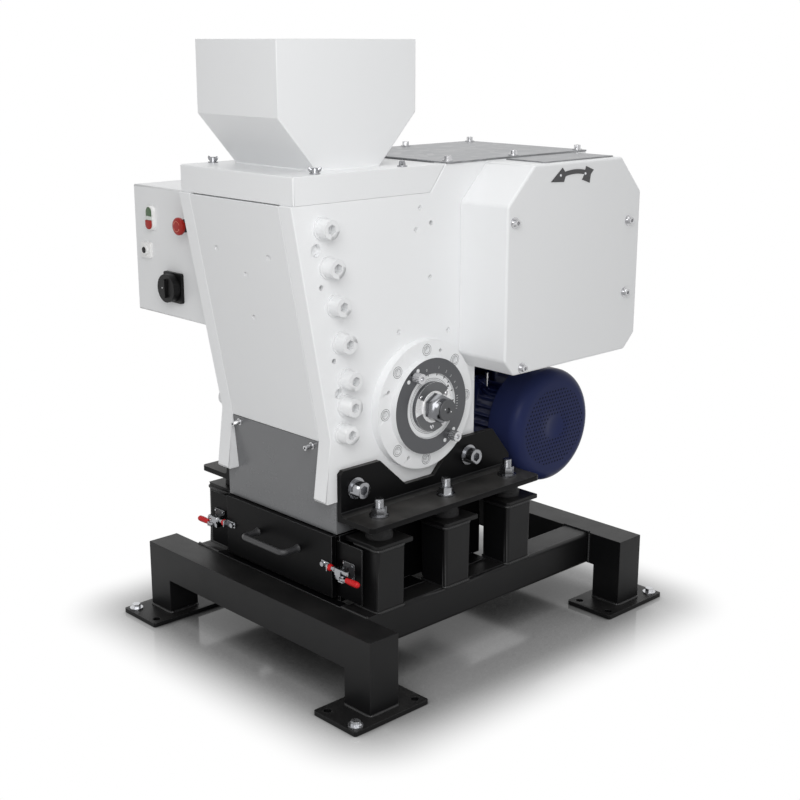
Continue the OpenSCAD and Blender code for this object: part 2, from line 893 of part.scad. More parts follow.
// Ribbed motor housing with feet towards the console and a terminal box on top
module motor_body() {
    color(navy)
        difference() {
            union() {
                bar_x(core_r, motor_x0 + 12, motor_x1, motor_y, motor_z);
                bar_x(core_r + 10, motor_x0, motor_x0 + 14, motor_y, motor_z);
                bar_x(48, motor_x0 - 8 + 1, motor_x0 + 4, motor_y, motor_z);
                yz(motor_x0 + 14, motor_x1 - 4)
                    translate([motor_y, motor_z])
                        for (i = [0 : fins - 1])
                            rotate(i * 360 / fins)
                                translate([core_r - 6, -2])
                                    square([fin_r - core_r + 6, 4]);
                for (x = [-145, 25])
                    block([x, console_y, motor_z - 108], [x + 30, motor_y - 60, motor_z + 108]);
                block([-60, motor_y - 48, motor_z + core_r - 12],
                    [60, motor_y + 48, rear_z - 26]);
                translate([60, motor_y, motor_z])
                    rotate([45, 0, 0]) {
                        bar_z(9, core_r - 4, fin_r + 8, 0, 0);
                        translate([0, 0, fin_r + 18])
                            rotate([0, 90, 90])
                                rotate_extrude()
                                    translate([14, 0])
                                        circle(r = 5);
                    }
                for (a = [45, 135, 225, 315])
                    translate([0, motor_y, motor_z])
                        rotate([a, 0, 0])
                            block([cowl_x0 + 4, -10, core_r - 4], [motor_x1 - 6, 10, cowl_r - 2.95]);
            }
            bar_x(rotor_r + run_fit, motor_x0 - 10, motor_x1 + 1, motor_y, motor_z);
            for (x = [-130, 40], z = [-90, 90])
                bar_y(6, console_y - 1, console_y + 40, x, motor_z + z);
        }
}

// Fan cowl: a spun sheet cap with rings of round air holes
module motor_cowl() {
    t = 2.5;
    er = 30;
    color(navy)
        difference() {
            translate([cowl_x0, motor_y, motor_z])
                rotate([0, 90, 0])
                    rotate_extrude() {
                        translate([cowl_r - t, 0])
                            square([t, cowl_x1 - cowl_x0 - er]);
                        translate([0, cowl_x1 - cowl_x0 - t])
                            square([cowl_r - er, t]);
                        translate([cowl_r - er, cowl_x1 - cowl_x0 - er])
                            intersection() {
                                difference() {
                                    circle(r = er);
                                    circle(r = er - t);
                                }
                                square(er + 1);
                            }
                    }
            for (k = [0 : 4], i = [0 : 13 + 6 * k])
                translate([cowl_x1, motor_y, motor_z])
                    rotate([i * 360 / (14 + 6 * k), 0, 0])
                        bar_x(5, -10, 1, 42 + 15.5 * k, 0);
        }
}

// Grooved rim or pulley seen as a profile: radius against width
module groove_cut(r, w) {
    for (i = [0 : belt_n - 1])
        translate([r - groove_h, w / 2 + (i - (belt_n - 1) / 2) * belt_pitch - groove_w / 2])
            square([groove_h + 1, groove_w]);
}

belt_gap = 0.6;
belt_dist = sqrt(pow(shaft_y - motor_y, 2) + pow(shaft_z - motor_z, 2));
belt_dir = atan2(motor_z - shaft_z, motor_y - shaft_y);

// Area swept by a belt of extra radius e round both pulleys
module belt_area(e) {
    r1 = wheel_d / 2 - groove_h + e;
    r2 = pulley_d / 2 - groove_h + e;
    b = acos((r1 - r2) / belt_dist);
    translate([shaft_y, shaft_z])
        rotate(belt_dir) {
            circle(r = r1);
            translate([belt_dist, 0])
                circle(r = r2);
            polygon([[r1 * cos(b), r1 * sin(b)], [belt_dist + r2 * cos(b), r2 * sin(b)],
                [belt_dist + r2 * cos(b), -r2 * sin(b)], [r1 * cos(b), -r1 * sin(b)]]);
        }
}

module drive_belts() {
    color(dark)
        for (i = [0 : belt_n - 1])
            yz(-wheel_x - wheel_w / 2 + (i - (belt_n - 1) / 2) * belt_pitch - belt_w / 2,
                -wheel_x - wheel_w / 2 + (i - (belt_n - 1) / 2) * belt_pitch + belt_w / 2)
                difference() {
                    belt_area(belt_gap + 8);
                    belt_area(belt_gap);
                }
}

hinge_z = [45, box_h - 45];

// Control box: an open sheet tray with spacers to the side plate and two hinge pins
module control_box() {
    t = 2;
    color(white) {
        difference() {
            block([box_x0, box_y0, box_z0], [box_x1, box_y1, box_z1]);
            block([box_x0 + t, box_y0 - 1, box_z0 + t], [box_x1 - t, box_y1 - t, box_z1 - t]);
        }
        difference() {
            block([box_x0 + t / 2, box_y0, box_z0 + t / 2], [box_x1 - t / 2, box_y0 + t, box_z1 - t / 2]);
            block([box_x0 + 14, box_y0 - 1, box_z0 + 14], [box_x1 - 14, box_y0 + t + 1, box_z1 - 14]);
        }
        for (y = [box_y0 + 40, box_y1 - 40], z = [box_z0 + 50, box_z1 - 50])
            bar_x(10, box_x1 - 1, -out_x - seam, y, z);
        for (z = hinge_z) {
            bar_z(2.5, box_z0 + z - 20, box_z0 + z + 20, hinge_x, hinge_y);
            bar_z(5, box_z0 + z - 20, box_z0 + z - 0.2, hinge_x, hinge_y);
            block([hinge_x - 1, hinge_y + 3.5, box_z0 + z - 20],
                [hinge_x + 1.5, box_y0 + 14, box_z0 + z - 0.2]);
            block([hinge_x + 1, box_y0 + 1, box_z0 + z - 20],
                [box_x0 + 1, box_y0 + 14, box_z0 + z - 0.2]);
        }
    }
}

// Mounting plate with rail, contactor, breaker and terminals inside the box
module contactor_plate() {
    y1 = box_y1 - 2;
    cx = (box_x0 + box_x1) / 2;
    cz = (box_z0 + box_z1) / 2;
    color(galv) {
        block([box_x0 + 25, y1 - 8, box_z0 + 25], [box_x1 - 25, y1 - 5, box_z1 - 25]);
        for (sx = [-1, 1], sz = [-1, 1])
            bar_y(6, y1 - 6, y1, cx + sx * (box_w / 2 - 40), cz + sz * (box_h / 2 - 40));
        block([cx - 105, y1 - 15, cz + 25], [cx + 105, y1 - 8, cz + 60]);
        block([cx - 105, y1 - 15, cz - 75], [cx + 105, y1 - 8, cz - 40]);
        block([cx - 60, y1 - 95, cz + 5], [cx - 5, y1 - 15, cz + 85]);
        block([cx + 10, y1 - 85, cz + 5], [cx + 55, y1 - 15, cz + 85]);
        for (i = [0 : 9])
            block([cx - 80 + 16 * i, y1 - 55, cz - 90], [cx - 67 + 16 * i, y1 - 15, cz - 28]);
    }
}

// Sheet cabinet that the drawer runs in, hooked over the side rails between the posts,
// with a flange on each side for the clamps and a lip on the front beam
module drawer_cabinet() {
    t = 3;
    y0 = drawer_y + front_d + 2;
    y1 = y0 + drawer_l + 12;
    top = chute_z - seam;
    color(black) {
        difference() {
            block([-half_cab, y0, beam_top], [half_cab, y1, top]);
            block([-half_cab + t, y0 - 1, beam_top + t], [half_cab - t, y1 - t, top + 1]);
        }
        block([-half_cab - 23, drawer_y - 8, beam_top], [half_cab + 23, y0 + 1, beam_top + t]);
        for (s = [-1, 1])
            mirror([s < 0 ? 1 : 0, 0, 0]) {
                block([half_cab - t - 5, y0, beam_top + t], [half_cab - t, y1 - t, drawer_z + 1 - seam]);
                block([half_cab - 9, y0, beam_top + 13], [half_cab + 71, y0 + t, beam_top + 141]);
                for (i = [0 : 1])
                    block([half_cab - 1, post_y(i) + cap_w + 8, beam_top],
                        [rail_span / 2 - tube + 22, post_y(i + 1) - 8, beam_top + t]);
            }
    }
}

// Fixed part of the side clamps: a foot on the cabinet's flange, a guide for the plunger
module clamp_base() {
    difference() {
        union() {
            block([lever_x - 22, clamp_face - 4, clamp_z - 18],
                [lever_x + 14, clamp_face, clamp_z + 18]);
            block([lever_x - 22, latch_y - 8, clamp_z - 8],
                [lever_x - 4, clamp_face - 1, clamp_z + 8]);
            bar_x(8, lever_x - 29, lever_x - 4, latch_y, clamp_z);
            block([lever_x - 6, lever_y - 8, lever_z - 6],
                [lever_x + 8, clamp_face - 1, lever_z - 3]);
            block([lever_x - 22, lever_y - 2, lever_z - 6],
                [lever_x - 9, clamp_face - 1, clamp_z - 7]);
            for (sx = [-18, 10], sz = [-14, 14])
                bar_y(2.6, clamp_face - 7, clamp_face - 3, lever_x + sx, clamp_z + sz);
            bar_z(4, lever_z - 6, lever_z + 5, lever_x, lever_y);
        }
        bar_x(plunger_d / 2 + run_fit, lever_x - 60, lever_x + 60, latch_y, clamp_z);
    }
}

module clamp_bases() {
    color(steel)
        both_sides()
            clamp_base();
}

hop_c = (-355.6 - 179) / 2;
hop_top_c = (-452.6 - 72.9) / 2;

// Side outline of the hopper, drawn inward by d
module hopper_profile(d) {
    z0 = body_top;
    z1 = z0 + hopper_taper_h;
    z2 = z1 + hopper_top_h;
    e = d > 0 ? 1 : 0;
    polygon([[hop_c - throat_l / 2 + d, z0 - e], [hop_top_c - hopper_l / 2 + d, z1],
        [hop_top_c - hopper_l / 2 + d, z2 + e], [hop_top_c + hopper_l / 2 - d, z2 + e],
        [hop_top_c + hopper_l / 2 - d, z1], [hop_c + throat_l / 2 - d, z0 - e]]);
}

module hopper() {
    color(white)
        difference() {
            yz(-hopper_w / 2, hopper_w / 2)
                hopper_profile(0);
            yz(-hopper_w / 2 + hopper_wall, hopper_w / 2 - hopper_wall)
                hopper_profile(hopper_wall);
        }
}

hood_front = -face_top_y + 6.5;

// Hood under the hopper, open below, with four bosses for the wing screws
module hood() {
    t = hood_wall;
    z0 = hood_z + seam;
    rise = (step_top_y - step_low_y) / hood_h;
    color(white)
        difference() {
            union() {
                difference() {
                    yz(-out_x, out_x)
                        polygon([[hood_front, z0], [hood_front, body_top], [step_top_y - 0.8, body_top],
                            [step_low_y - 0.8, z0]]);
                    yz(-out_x + t, out_x - t)
                        polygon([[hood_front + t, z0 - 1], [hood_front + t, body_top - t],
                            [step_top_y - 0.8 - 1.27 * t - rise * t, body_top - t],
                            [step_low_y - 0.8 - 1.27 * t - rise, z0 - 1]]);
                }
                for (p = wing_spots)
                    bar_z(13, z0, body_top - 1, p[0], p[1]);
            }
            for (p = wing_spots)
                bar_z(6.4, z0 - 1, body_top + 1, p[0], p[1]);
            block([-hopper_w / 2 + hopper_wall, hop_c - throat_l / 2 + hopper_wall, body_top - t - 1],
                [hopper_w / 2 - hopper_wall, hop_c + throat_l / 2 - hopper_wall, body_top + 1]);
        }
}

// Wing screw: washer, hub, two wings and the shank down into the side plate
module wing_screw(i) {
    color(steel)
        translate([wing_spots[i][0], wing_spots[i][1], body_top + 0.1]) {
            cylinder(r = 11, h = 2);
            cylinder(r = 7, h = 11);
            bar_z(6, -hood_h - 20, 13, 0, 0);
            rotate(i * 40 + 15)
                for (s = [-1, 1])
                    translate([s * 9, 0, 10])
                        rotate([90, 0, 0])
                            rotate(s * -25)
                                translate([0, 0, -1.8])
                                    linear_extrude(3.6)
                                        round_rect(9, 12, 4);
        }
}

module wing_screw_front_left() {
    wing_screw(0);
}

module wing_screw_front_right() {
    wing_screw(1);
}

module wing_screw_rear_left() {
    wing_screw(2);
}

module wing_screw_rear_right() {
    wing_screw(3);
}

// Drawer: a folded front and an open sheet tray
module drawer() {
    t = drawer_wall;
    y1 = drawer_y + front_d + drawer_l;
    color(black) {
        block([-drawer_x, drawer_y, drawer_z], [drawer_x, drawer_y + front_d, drawer_top]);
        difference() {
            block([-drawer_x + 3, drawer_y + front_d - 1, drawer_z + 1],
                [drawer_x - 3, y1, drawer_top - 5]);
            block([-drawer_x + 3 + t, drawer_y + front_d + t, drawer_z + 1 + t],
                [drawer_x - 3 - t, y1 - t, drawer_top]);
        }
    }
}

// Round bar handle with flared feet
module drawer_handle() {
    r = handle_d / 2;
    color(dark) {
        bar_x(r, -handle_l / 2, handle_l / 2, drawer_y - handle_out, handle_z);
        for (s = [-1, 1]) {
            bar_y(r, drawer_y - handle_out, drawer_y, s * handle_l / 2, handle_z);
            bar_y(r + 3, drawer_y - 5, drawer_y, s * handle_l / 2, handle_z);
            translate([s * handle_l / 2, drawer_y - handle_out, handle_z])
                sphere(r = r);
        }
    }
}

// Steel catches on the drawer front that the plungers press against
module drawer_catches() {
    color(steel)
        both_sides() {
            block([drawer_x - 32, drawer_y - 2.5, clamp_z - 7], [drawer_x, drawer_y, clamp_z + 7]);
            block([drawer_x - 4, drawer_y - 14, clamp_z - 8], [drawer_x, drawer_y - 1, clamp_z + 8]);
            bar_y(5.5, drawer_y - 9, drawer_y - 1, drawer_x - 24, clamp_z);
        }
}

// Clamp lever: flat steel arm with a rubber grip, turning on the base's pin
module clamp_lever() {
    color(steel)
        difference() {
            union() {
                bar_z(8, lever_z - 2.6, lever_z + 2.6, lever_x, lever_y);
                block([lever_x, lever_y - 5, lever_z - 2.6], [lever_x + 30, lever_y + 5, lever_z + 2.6]);
            }
            bar_z(4 + run_fit, lever_z - 10, lever_z + 10, lever_x, lever_y);
        }
    color(red) {
        bar_x(6.5, lever_x + 12, lever_x + 46, lever_y, lever_z);
        translate([lever_x + 46, lever_y, lever_z])
            sphere(r = 6.5);
    }
}

module clamp_lever_right() {
    clamp_lever();
}

module clamp_lever_left() {
    mirror([1, 0, 0])
        clamp_lever();
}

// Clamp plunger: steel rod with a round rubber tip against the catch
module clamp_plunger() {
    x0 = drawer_x + 0.4;
    color(steel) {
        bar_x(plunger_d / 2, x0 + 8, lever_x + 12, latch_y, clamp_z);
        bar_x(plunger_d / 2 + 1, lever_x + 9, lever_x + 14, latch_y, clamp_z);
    }
    color(red)
        bar_x(8, x0, x0 + 9, latch_y, clamp_z);
}

module clamp_plunger_right() {
    clamp_plunger();
}

module clamp_plunger_left() {
    mirror([1, 0, 0])
        clamp_plunger();
}

// Control box door with openings for its buttons
module box_door() {
    t = 2;
    color(white) {
        difference() {
            block([box_x0, door_y, box_z0], [box_x1, door_y + door_t, box_z1]);
            block([box_x0 + t, door_y + t, box_z0 + t], [box_x1 - t, door_y + door_t + 1, box_z1 - t]);
            block([duo_x - duo_w / 2 + 1, door_y - 1, duo_z - duo_h / 2 + 1],
                [duo_x + duo_w / 2 - 1, door_y + t + 1, duo_z + duo_h / 2 - 1]);
            bar_y(11.2, door_y - 1, door_y + t + 1, reset_x, reset_z);
            bar_y(11.2, door_y - 1, door_y + t + 1, stop_x, stop_z);
            bar_y(11.2, door_y - 1, door_y + t + 1, main_x, main_z);
        }
        for (z = hinge_z)
            difference() {
                union() {
                    bar_z(5, box_z0 + z, box_z0 + z + 20, hinge_x, hinge_y);
                    block([hinge_x, door_y + 5, box_z0 + z],
                        [box_x0 + 1, door_y + 9, box_z0 + z + 20]);
                }
                bar_z(2.5 + run_fit, box_z0 + z - 1, box_z0 + z + 21, hinge_x, hinge_y);
            }
    }
}

// Half of the double switch, drawn inward by g: round at its outer end; s is 1 for the upper
module duo_half(s, g) {
    intersection() {
        round_rect(duo_w - 6 - 2 * g, duo_h - 6 - 2 * g, duo_w / 2 - 3.2 - g);
        translate([-duo_w / 2, s > 0 ? 4.5 + g : -duo_h / 2])
            square([duo_w, duo_h / 2 - 4.5 - g]);
    }
}

// White bezels: the double button's oblong body and the small square plate with its ring
module button_bezels() {
    color(white) {
        translate([duo_x, 0, duo_z]) {
            xz(door_y - 10, door_y - 0.05)
                difference() {
                    round_rect(duo_w, duo_h, duo_w / 2 - 0.2);
                    duo_half(1, 0);
                    duo_half(-1, 0);
                }
            xz(door_y - 0.05, door_y + 20)
                difference() {
                    round_rect(duo_w - 3, duo_h - 3, duo_w / 2 - 1.7);
                    duo_half(1, 0);
                    duo_half(-1, 0);
                }
        }
        translate([reset_x, 0, reset_z]) {
            xz(door_y - 8, door_y - 0.05)
                difference() {
                    round_rect(37, 37, 3);
                    circle(r = 7.4);
                }
            xz(door_y - 12, door_y - 7)
                difference() {
                    circle(r = 12);
                    circle(r = 7.4);
                }
            xz(door_y - 0.05, door_y + 16)
                difference() {
                    circle(r = 11);
                    circle(r = 7.4);
                }
        }
    }
}

// Black fittings on the door: the stop button's collar, the main switch's plate
module door_fittings() {
    color(black) {
        difference() {
            union() {
                bar_y(15, door_y - 12, door_y - 0.05, stop_x, stop_z);
                bar_y(11, door_y - 1, door_y + 30, stop_x, stop_z);
            }
            bar_y(8 + run_fit, door_y - 13, door_y + 31, stop_x, stop_z);
        }
        difference() {
            union() {
                translate([main_x, 0, main_z])
                    xz(door_y - 8, door_y - 0.05)
                        round_rect(switch_w, switch_w, 5);
                bar_y(11, door_y - 1, door_y + 30, main_x, main_z);
            }
            bar_y(6 + run_fit, door_y - 9, door_y + 31, main_x, main_z);
        }
    }
}

// Push button of the double switch; s is 1 for the upper one
module duo_button(s, proud) {
    translate([duo_x, 0, duo_z])
        xz(door_y - 10 - proud, door_y + 14)
            duo_half(s, 0.3);
}

module start_button() {
    color(green)
        duo_button(1, 0.5);
}

module stop_button() {
    color(red)
        duo_button(-1, 3);
}

module reset_button() {
    color(black)
        bar_y(7.3, door_y - 13.5, door_y + 10, reset_x, reset_z);
}

estop_stroke = 5;

// Emergency stop: a mushroom cap turned in one piece with its stem
module estop_head() {
    r = estop_d / 2;
    color(red)
        translate([stop_x, door_y - 34, stop_z])
            rotate([-90, 0, 0])
                rotate_extrude() {
                    translate([0, 4])
                        square([r, 6]);
                    square([r - 4, 5]);
                    intersection() {
                        translate([r - 4, 4])
                            circle(r = 4);
                        square([r, 8]);
                    }
                    translate([0, 9])
                        square([11, 7]);
                    translate([0, 9])
                        square([8, 40]);
                }
}

// Main switch: a wide round knob with a low grip bar across it
module switch_knob() {
    color(black) {
        bar_y(switch_w / 2 - 2, door_y - 27, door_y - 8.4, main_x, main_z);
        translate([main_x, 0, main_z])
            xz(door_y - 34, door_y - 26)
                round_rect(11, 44, 4);
        bar_y(6, door_y - 20, door_y + 20, main_x, main_z);
    }
}

// Setting spindle: journals, the eccentric between the side plates, hexagon and end disc
module gap_spindle() {
    x1 = dial_out - 4;
    color(steel) {
        bar_x(spindle_d / 2, -out_x - flange_t + 2, x1 + 2, spindle_y, spindle_z);
        bar_x(ecc_r, -in_x + 9, in_x - 9, ecc_y, ecc_z);
        difference() {
            bar_x(56, x1 + 0.6, x1 + 10, spindle_y, spindle_z);
            for (a = [0 : 60 : 300])
                bar_x(4.5, x1 + 7, x1 + 11,
                    spindle_y + 46 * cos(a), spindle_z + 46 * sin(a));
        }
        translate([x1 + 9, spindle_y, spindle_z])
            rotate([0, 90, 0])
                cylinder(r = hex_af / sqrt(3), h = 31, $fn = 6);
        difference() {
            bar_x(24, x1 + 39, x1 + 55, spindle_y, spindle_z);
            bar_x(7, x1 + 48, x1 + 56, spindle_y, spindle_z);
        }
    }
}

// Knurled screw that clamps the scale ring; its head has two cross holes
module dial_clamp(a) {
    color(steel)
        difference() {
            union() {
                bar_x(6, dial_x + 1, dial_out + 3,
                    spindle_y + clamp_r * cos(a), spindle_z + clamp_r * sin(a));
                bar_x(9, dial_out + seam, dial_out + 9,
                    spindle_y + clamp_r * cos(a), spindle_z + clamp_r * sin(a));
                translate([dial_out + 8, spindle_y + clamp_r * cos(a), spindle_z + clamp_r * sin(a)])
                    rotate([0, 90, 0])
                        linear_extrude(20)
                            union() {
                                circle(r = 11);
                                for (i = [0 : 17])
                                    rotate(i * 20)
                                        translate([10.6, 0])
                                            circle(r = 1.2);
                            }
            }
            bar_x(5, dial_out + 22, dial_out + 30,
                spindle_y + clamp_r * cos(a), spindle_z + clamp_r * sin(a));
        }
}

module dial_clamp_upper() {
    dial_clamp(clamp_a);
}

module dial_clamp_lower() {
    dial_clamp(clamp_a + 180);
}

swing_tilt = atan((swing_low_y - swing_top_y) / (jaw_top_z - jaw_low_z));
yoke_y = shaft_y;
yoke_w = 2 * (shaft_ecc_r + shaft_ecc + 2);
gap_run = 2 * gap_ecc + 2;

// Swing jaw: a body on the eccentric, with an arm back to a slotted yoke on the shaft
module swing_jaw() {
    w = jaw_x - 3;
    back = jaw_t + 1;
    color([0.35, 0.36, 0.38])
        difference() {
            union() {
                yz(-w, w)
                    polygon([[swing_low_y + back, jaw_low_z], [ecc_y, ecc_z - hub_r + 6],
                        [ecc_y + hub_r - 12, ecc_z + 20], [swing_top_y + back + 110, jaw_top_z - 60],
                        [swing_top_y + back + 60, jaw_top_z], [swing_top_y + back, jaw_top_z]]);
                bar_x(hub_r, -w, w, ecc_y, ecc_z);
                yz(-60, 60)
                    polygon([[swing_top_y + back + 40, shaft_z + 62],
                        [yoke_y + yoke_w / 2 + gap_run + 22, shaft_z + yoke_w / 2 + 30],
                        [yoke_y + yoke_w / 2 + gap_run + 22, shaft_z - yoke_w / 2 - 30],
                        [swing_top_y + back + 40, shaft_z - 90]]);
            }
            bar_x(ecc_r + run_fit, -in_x, in_x, ecc_y, ecc_z);
            block([-70, yoke_y - yoke_w / 2 - gap_run, shaft_z - yoke_w / 2 - gap_ecc],
                [70, yoke_y + yoke_w / 2 + gap_run, shaft_z + yoke_w / 2 + gap_ecc]);
        }
}

module moving_jaw_plate() {
    h = (jaw_top_z - jaw_low_z) / cos(swing_tilt);
    color(steel)
        translate([0, swing_low_y + jaw_t + 0.75, jaw_low_z])
            rotate([swing_tilt, 0, 0])
                mirror([0, 1, 0])
                    translate([0, 0, 2])
                        linear_extrude(h - 8)
                            jaw_ribs(2 * (jaw_x - 1), jaw_t - 3, 12, 10);
}

module drive_shaft() {
    color(steel) {
        bar_x(shaft_r, -wheel_x - wheel_w - 6, wheel_x + wheel_w + 6, shaft_y, shaft_z);
        bar_x(shaft_ecc_r, -50, 50, shaft_y, shaft_z + shaft_ecc);
        for (s = [-1, 1])
            translate([s * (in_x - 12), 0, 0])
                bar_x(shaft_r + 8, -6, 6, shaft_y, shaft_z);
    }
}

// Wheel section: hub, web and heavy rim, as radius against width
module wheel_section(grooved) {
    difference() {
        union() {
            translate([shaft_r, 0])
                square([28, wheel_w]);
            translate([shaft_r, wheel_w / 2 - 12])
                square([wheel_d / 2 - shaft_r - 4, 24]);
            translate([wheel_d / 2 - 34, 0])
                square([34, wheel_w]);
        }
        if (grooved)
            groove_cut(wheel_d / 2, wheel_w);
    }
}

module flywheel(grooved) {
    difference() {
        translate([wheel_x, shaft_y, shaft_z])
            rotate([0, 90, 0])
                rotate_extrude()
                    wheel_section(grooved);
        for (a = [0 : 60 : 300])
            bar_x(28, wheel_x - 1, wheel_x + wheel_w + 1,
                shaft_y + 108 * cos(a), shaft_z + 108 * sin(a));
    }
}

module flywheels() {
    color(dark) {
        flywheel(false);
        mirror([1, 0, 0])
            flywheel(true);
    }
}

// Motor rotor: shaft, grooved pulley and fan in one turning piece
module motor_rotor() {
    fan_x = motor_x1 + 12;
    color(steel) {
        bar_x(rotor_r, -wheel_x - wheel_w - 4, cowl_x1 - 12, motor_y, motor_z);
        translate([-wheel_x - wheel_w, motor_y, motor_z])
            rotate([0, 90, 0])
                rotate_extrude()
                    difference() {
                        square([pulley_d / 2, wheel_w]);
                        groove_cut(pulley_d / 2, wheel_w);
                    }
        bar_x(34, fan_x, fan_x + 30, motor_y, motor_z);
        for (i = [0 : 6])
            translate([0, motor_y, motor_z])
                rotate([i * 360 / 7, 0, 0])
                    block([fan_x, -2, 30], [fan_x + 30, 2, core_r + 12]);
    }
}

front_trestle();
rear_trestle();
side_rail_left();
side_rail_right();
anchor_bolts();
rubber_mounts();
bracket_left();
bracket_right();
bracket_fasteners();
cheek_left();
cheek_right();
cheek_screws();
front_plate();
fixed_jaw_plate();
side_liners();
chute();
cover_screws();
top_plates();
rear_housing();
bearing_flanges();
dial_ring();
flywheel_cover();
belt_guard();
motor_console();
motor_body();
motor_cowl();
drive_belts();
control_box();
contactor_plate();
drawer_cabinet();
clamp_bases();
hopper();
hood();
wing_screw_front_left();
wing_screw_front_right();
wing_screw_rear_left();
wing_screw_rear_right();
drawer();
drawer_handle();
drawer_catches();
clamp_lever_left();
clamp_lever_right();
clamp_plunger_left();
clamp_plunger_right();
box_door();
button_bezels();
door_fittings();
start_button();
stop_button();
reset_button();
estop_head();
switch_knob();
gap_spindle();
dial_clamp_upper();
dial_clamp_lower();
swing_jaw();
moving_jaw_plate();
drive_shaft();
flywheels();
motor_rotor();
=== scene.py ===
"""Looks of a floor-standing laboratory jaw crusher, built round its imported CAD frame.

All sizes in the classes are millimetres in the CAD frame: the origin is on the floor at the
centre of the base frame, -Y is the drawer side, +X the dial side and +Z is up.
"""

from __future__ import annotations

import json
import logging
import math
from dataclasses import dataclass
from enum import Enum
from functools import reduce
from typing import Callable, Sequence

import bmesh
import bpy
import numpy as np
from mathutils import Matrix

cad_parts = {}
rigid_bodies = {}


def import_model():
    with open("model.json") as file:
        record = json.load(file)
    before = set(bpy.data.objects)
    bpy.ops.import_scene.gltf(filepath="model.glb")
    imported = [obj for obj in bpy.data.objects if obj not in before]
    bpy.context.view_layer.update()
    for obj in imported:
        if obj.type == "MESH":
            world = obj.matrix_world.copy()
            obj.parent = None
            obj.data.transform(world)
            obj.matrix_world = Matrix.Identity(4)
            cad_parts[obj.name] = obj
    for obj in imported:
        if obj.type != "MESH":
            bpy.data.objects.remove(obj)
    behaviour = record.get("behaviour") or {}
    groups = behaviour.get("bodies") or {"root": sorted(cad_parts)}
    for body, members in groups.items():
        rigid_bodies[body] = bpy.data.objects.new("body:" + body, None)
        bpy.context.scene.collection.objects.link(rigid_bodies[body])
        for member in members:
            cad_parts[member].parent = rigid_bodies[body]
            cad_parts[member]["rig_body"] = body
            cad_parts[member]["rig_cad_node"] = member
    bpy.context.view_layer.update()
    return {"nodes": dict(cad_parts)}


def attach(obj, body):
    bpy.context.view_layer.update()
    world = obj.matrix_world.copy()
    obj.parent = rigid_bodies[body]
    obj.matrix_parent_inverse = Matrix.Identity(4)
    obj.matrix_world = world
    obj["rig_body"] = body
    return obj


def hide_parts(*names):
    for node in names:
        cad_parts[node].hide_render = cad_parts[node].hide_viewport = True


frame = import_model()
MM = 0.001
LOG = logging.getLogger("jaw_crusher")
X, Y, Z = (1, 0, 0), (0, 1, 0), (0, 0, 1)
Array = np.ndarray
Colour = tuple[int, int, int]
Vec = Sequence[float]
Obj = bpy.types.Object
Socket = bpy.types.NodeSocket
Mask = Callable[[Array, Array, Array], Array]


@dataclass(frozen=True)
class Cowl:
    """Sizes of the fan cowl: its axis, its turned sheet and its air holes."""

    y: float = 328.0
    z: float = 442.0
    flat_r: float = 111.0
    shoulder_r: float = 30.0
    sheet: float = 2.5
    open_x: float = 126.0
    shoulder_x: float = 188.0
    face_x: float = 218.0
    pitch: tuple[float, float] = (10.5, 9.5)
    hole_rows: tuple[float, float] = (3.2, 10.3)


COWL = Cowl()


# Surfaces


def unit(v: Vec) -> Array:
    """Returns the vector scaled to length one."""
    a = np.asarray(v, float)
    return a / np.linalg.norm(a)


def hand(side: int) -> str:
    """Names the side of the machine from the sign of X."""
    return "right" if side > 0 else "left"


def near(values: Array, place: float, slack: float = 0.5) -> Array:
    """Tells which values lie at a place."""
    return np.isclose(values, place, atol=slack)


def pulled(items: Sequence, key: str, width: int = 1, kind: type = float) -> Array:
    """Reads one property of all items of a mesh.

    Args:
        items: Vertices, edges, loops or polygons.
        key: Name of the property.
        width: Numbers in each item's property.
        kind: Type of the numbers.

    Returns:
        One number, or one row of numbers, for each item.
    """
    data = np.zeros(len(items) * width, kind)
    items.foreach_get(key, data)
    return data.reshape(-1, width) if width > 1 else data


def placed(name: str, data: bpy.types.ID) -> Obj:
    """Links a new object with this mesh, curve, camera or lamp to the scene.

    Args:
        name: Object name.
        data: Mesh, curve, camera or lamp.

    Returns:
        The new object.
    """
    obj = bpy.data.objects.new(name, data)
    bpy.context.scene.collection.objects.link(obj)
    return obj


def shade(mesh: bpy.types.Mesh, crisp: float) -> None:
    """Shades smooth, or flat at 0, with sharp edges above that many degrees."""
    mesh.polygons.foreach_set("use_smooth", np.full(len(mesh.polygons), crisp > 0))
    mesh.set_sharp_from_angle(angle=math.radians(crisp))


def shell(name: str, verts: Array, faces: list[list[int]], crisp: float) -> Obj:
    """Makes a smooth-shaded object from points in millimetres.

    Args:
        name: Object name.
        verts: Points in millimetres, one row each.
        faces: Vertex numbers of each face.
        crisp: Edges that turn by more than this many degrees stay sharp.

    Returns:
        The new object, at the origin.
    """
    mesh = bpy.data.meshes.new(name)
    mesh.from_pydata((verts * MM).tolist(), [], faces)
    shade(mesh, crisp)
    mesh.update()
    return placed(name, mesh)


def outward(verts: Array, faces: list[list[int]]) -> list[list[int]]:
    """Turns the faces of a closed shell outwards.

    The signed volume is the sum over each face's fan of triangles of a . (b x c) / 6.

    Args:
        verts: Points, one row each.
        faces: Vertex numbers of each face.

    Returns:
        The same faces, reversed where the signed volume was negative.
    """
    tris = np.array([(f[0], f[k], f[k + 1]) for f in faces for k in range(1, len(f) - 1)])
    a, b, c = (verts[tris[:, k]] for k in range(3))
    volume = np.einsum("ij,ij->i", a, np.cross(b, c)).sum()
    return [f[::-1] for f in faces] if volume < 0 else faces


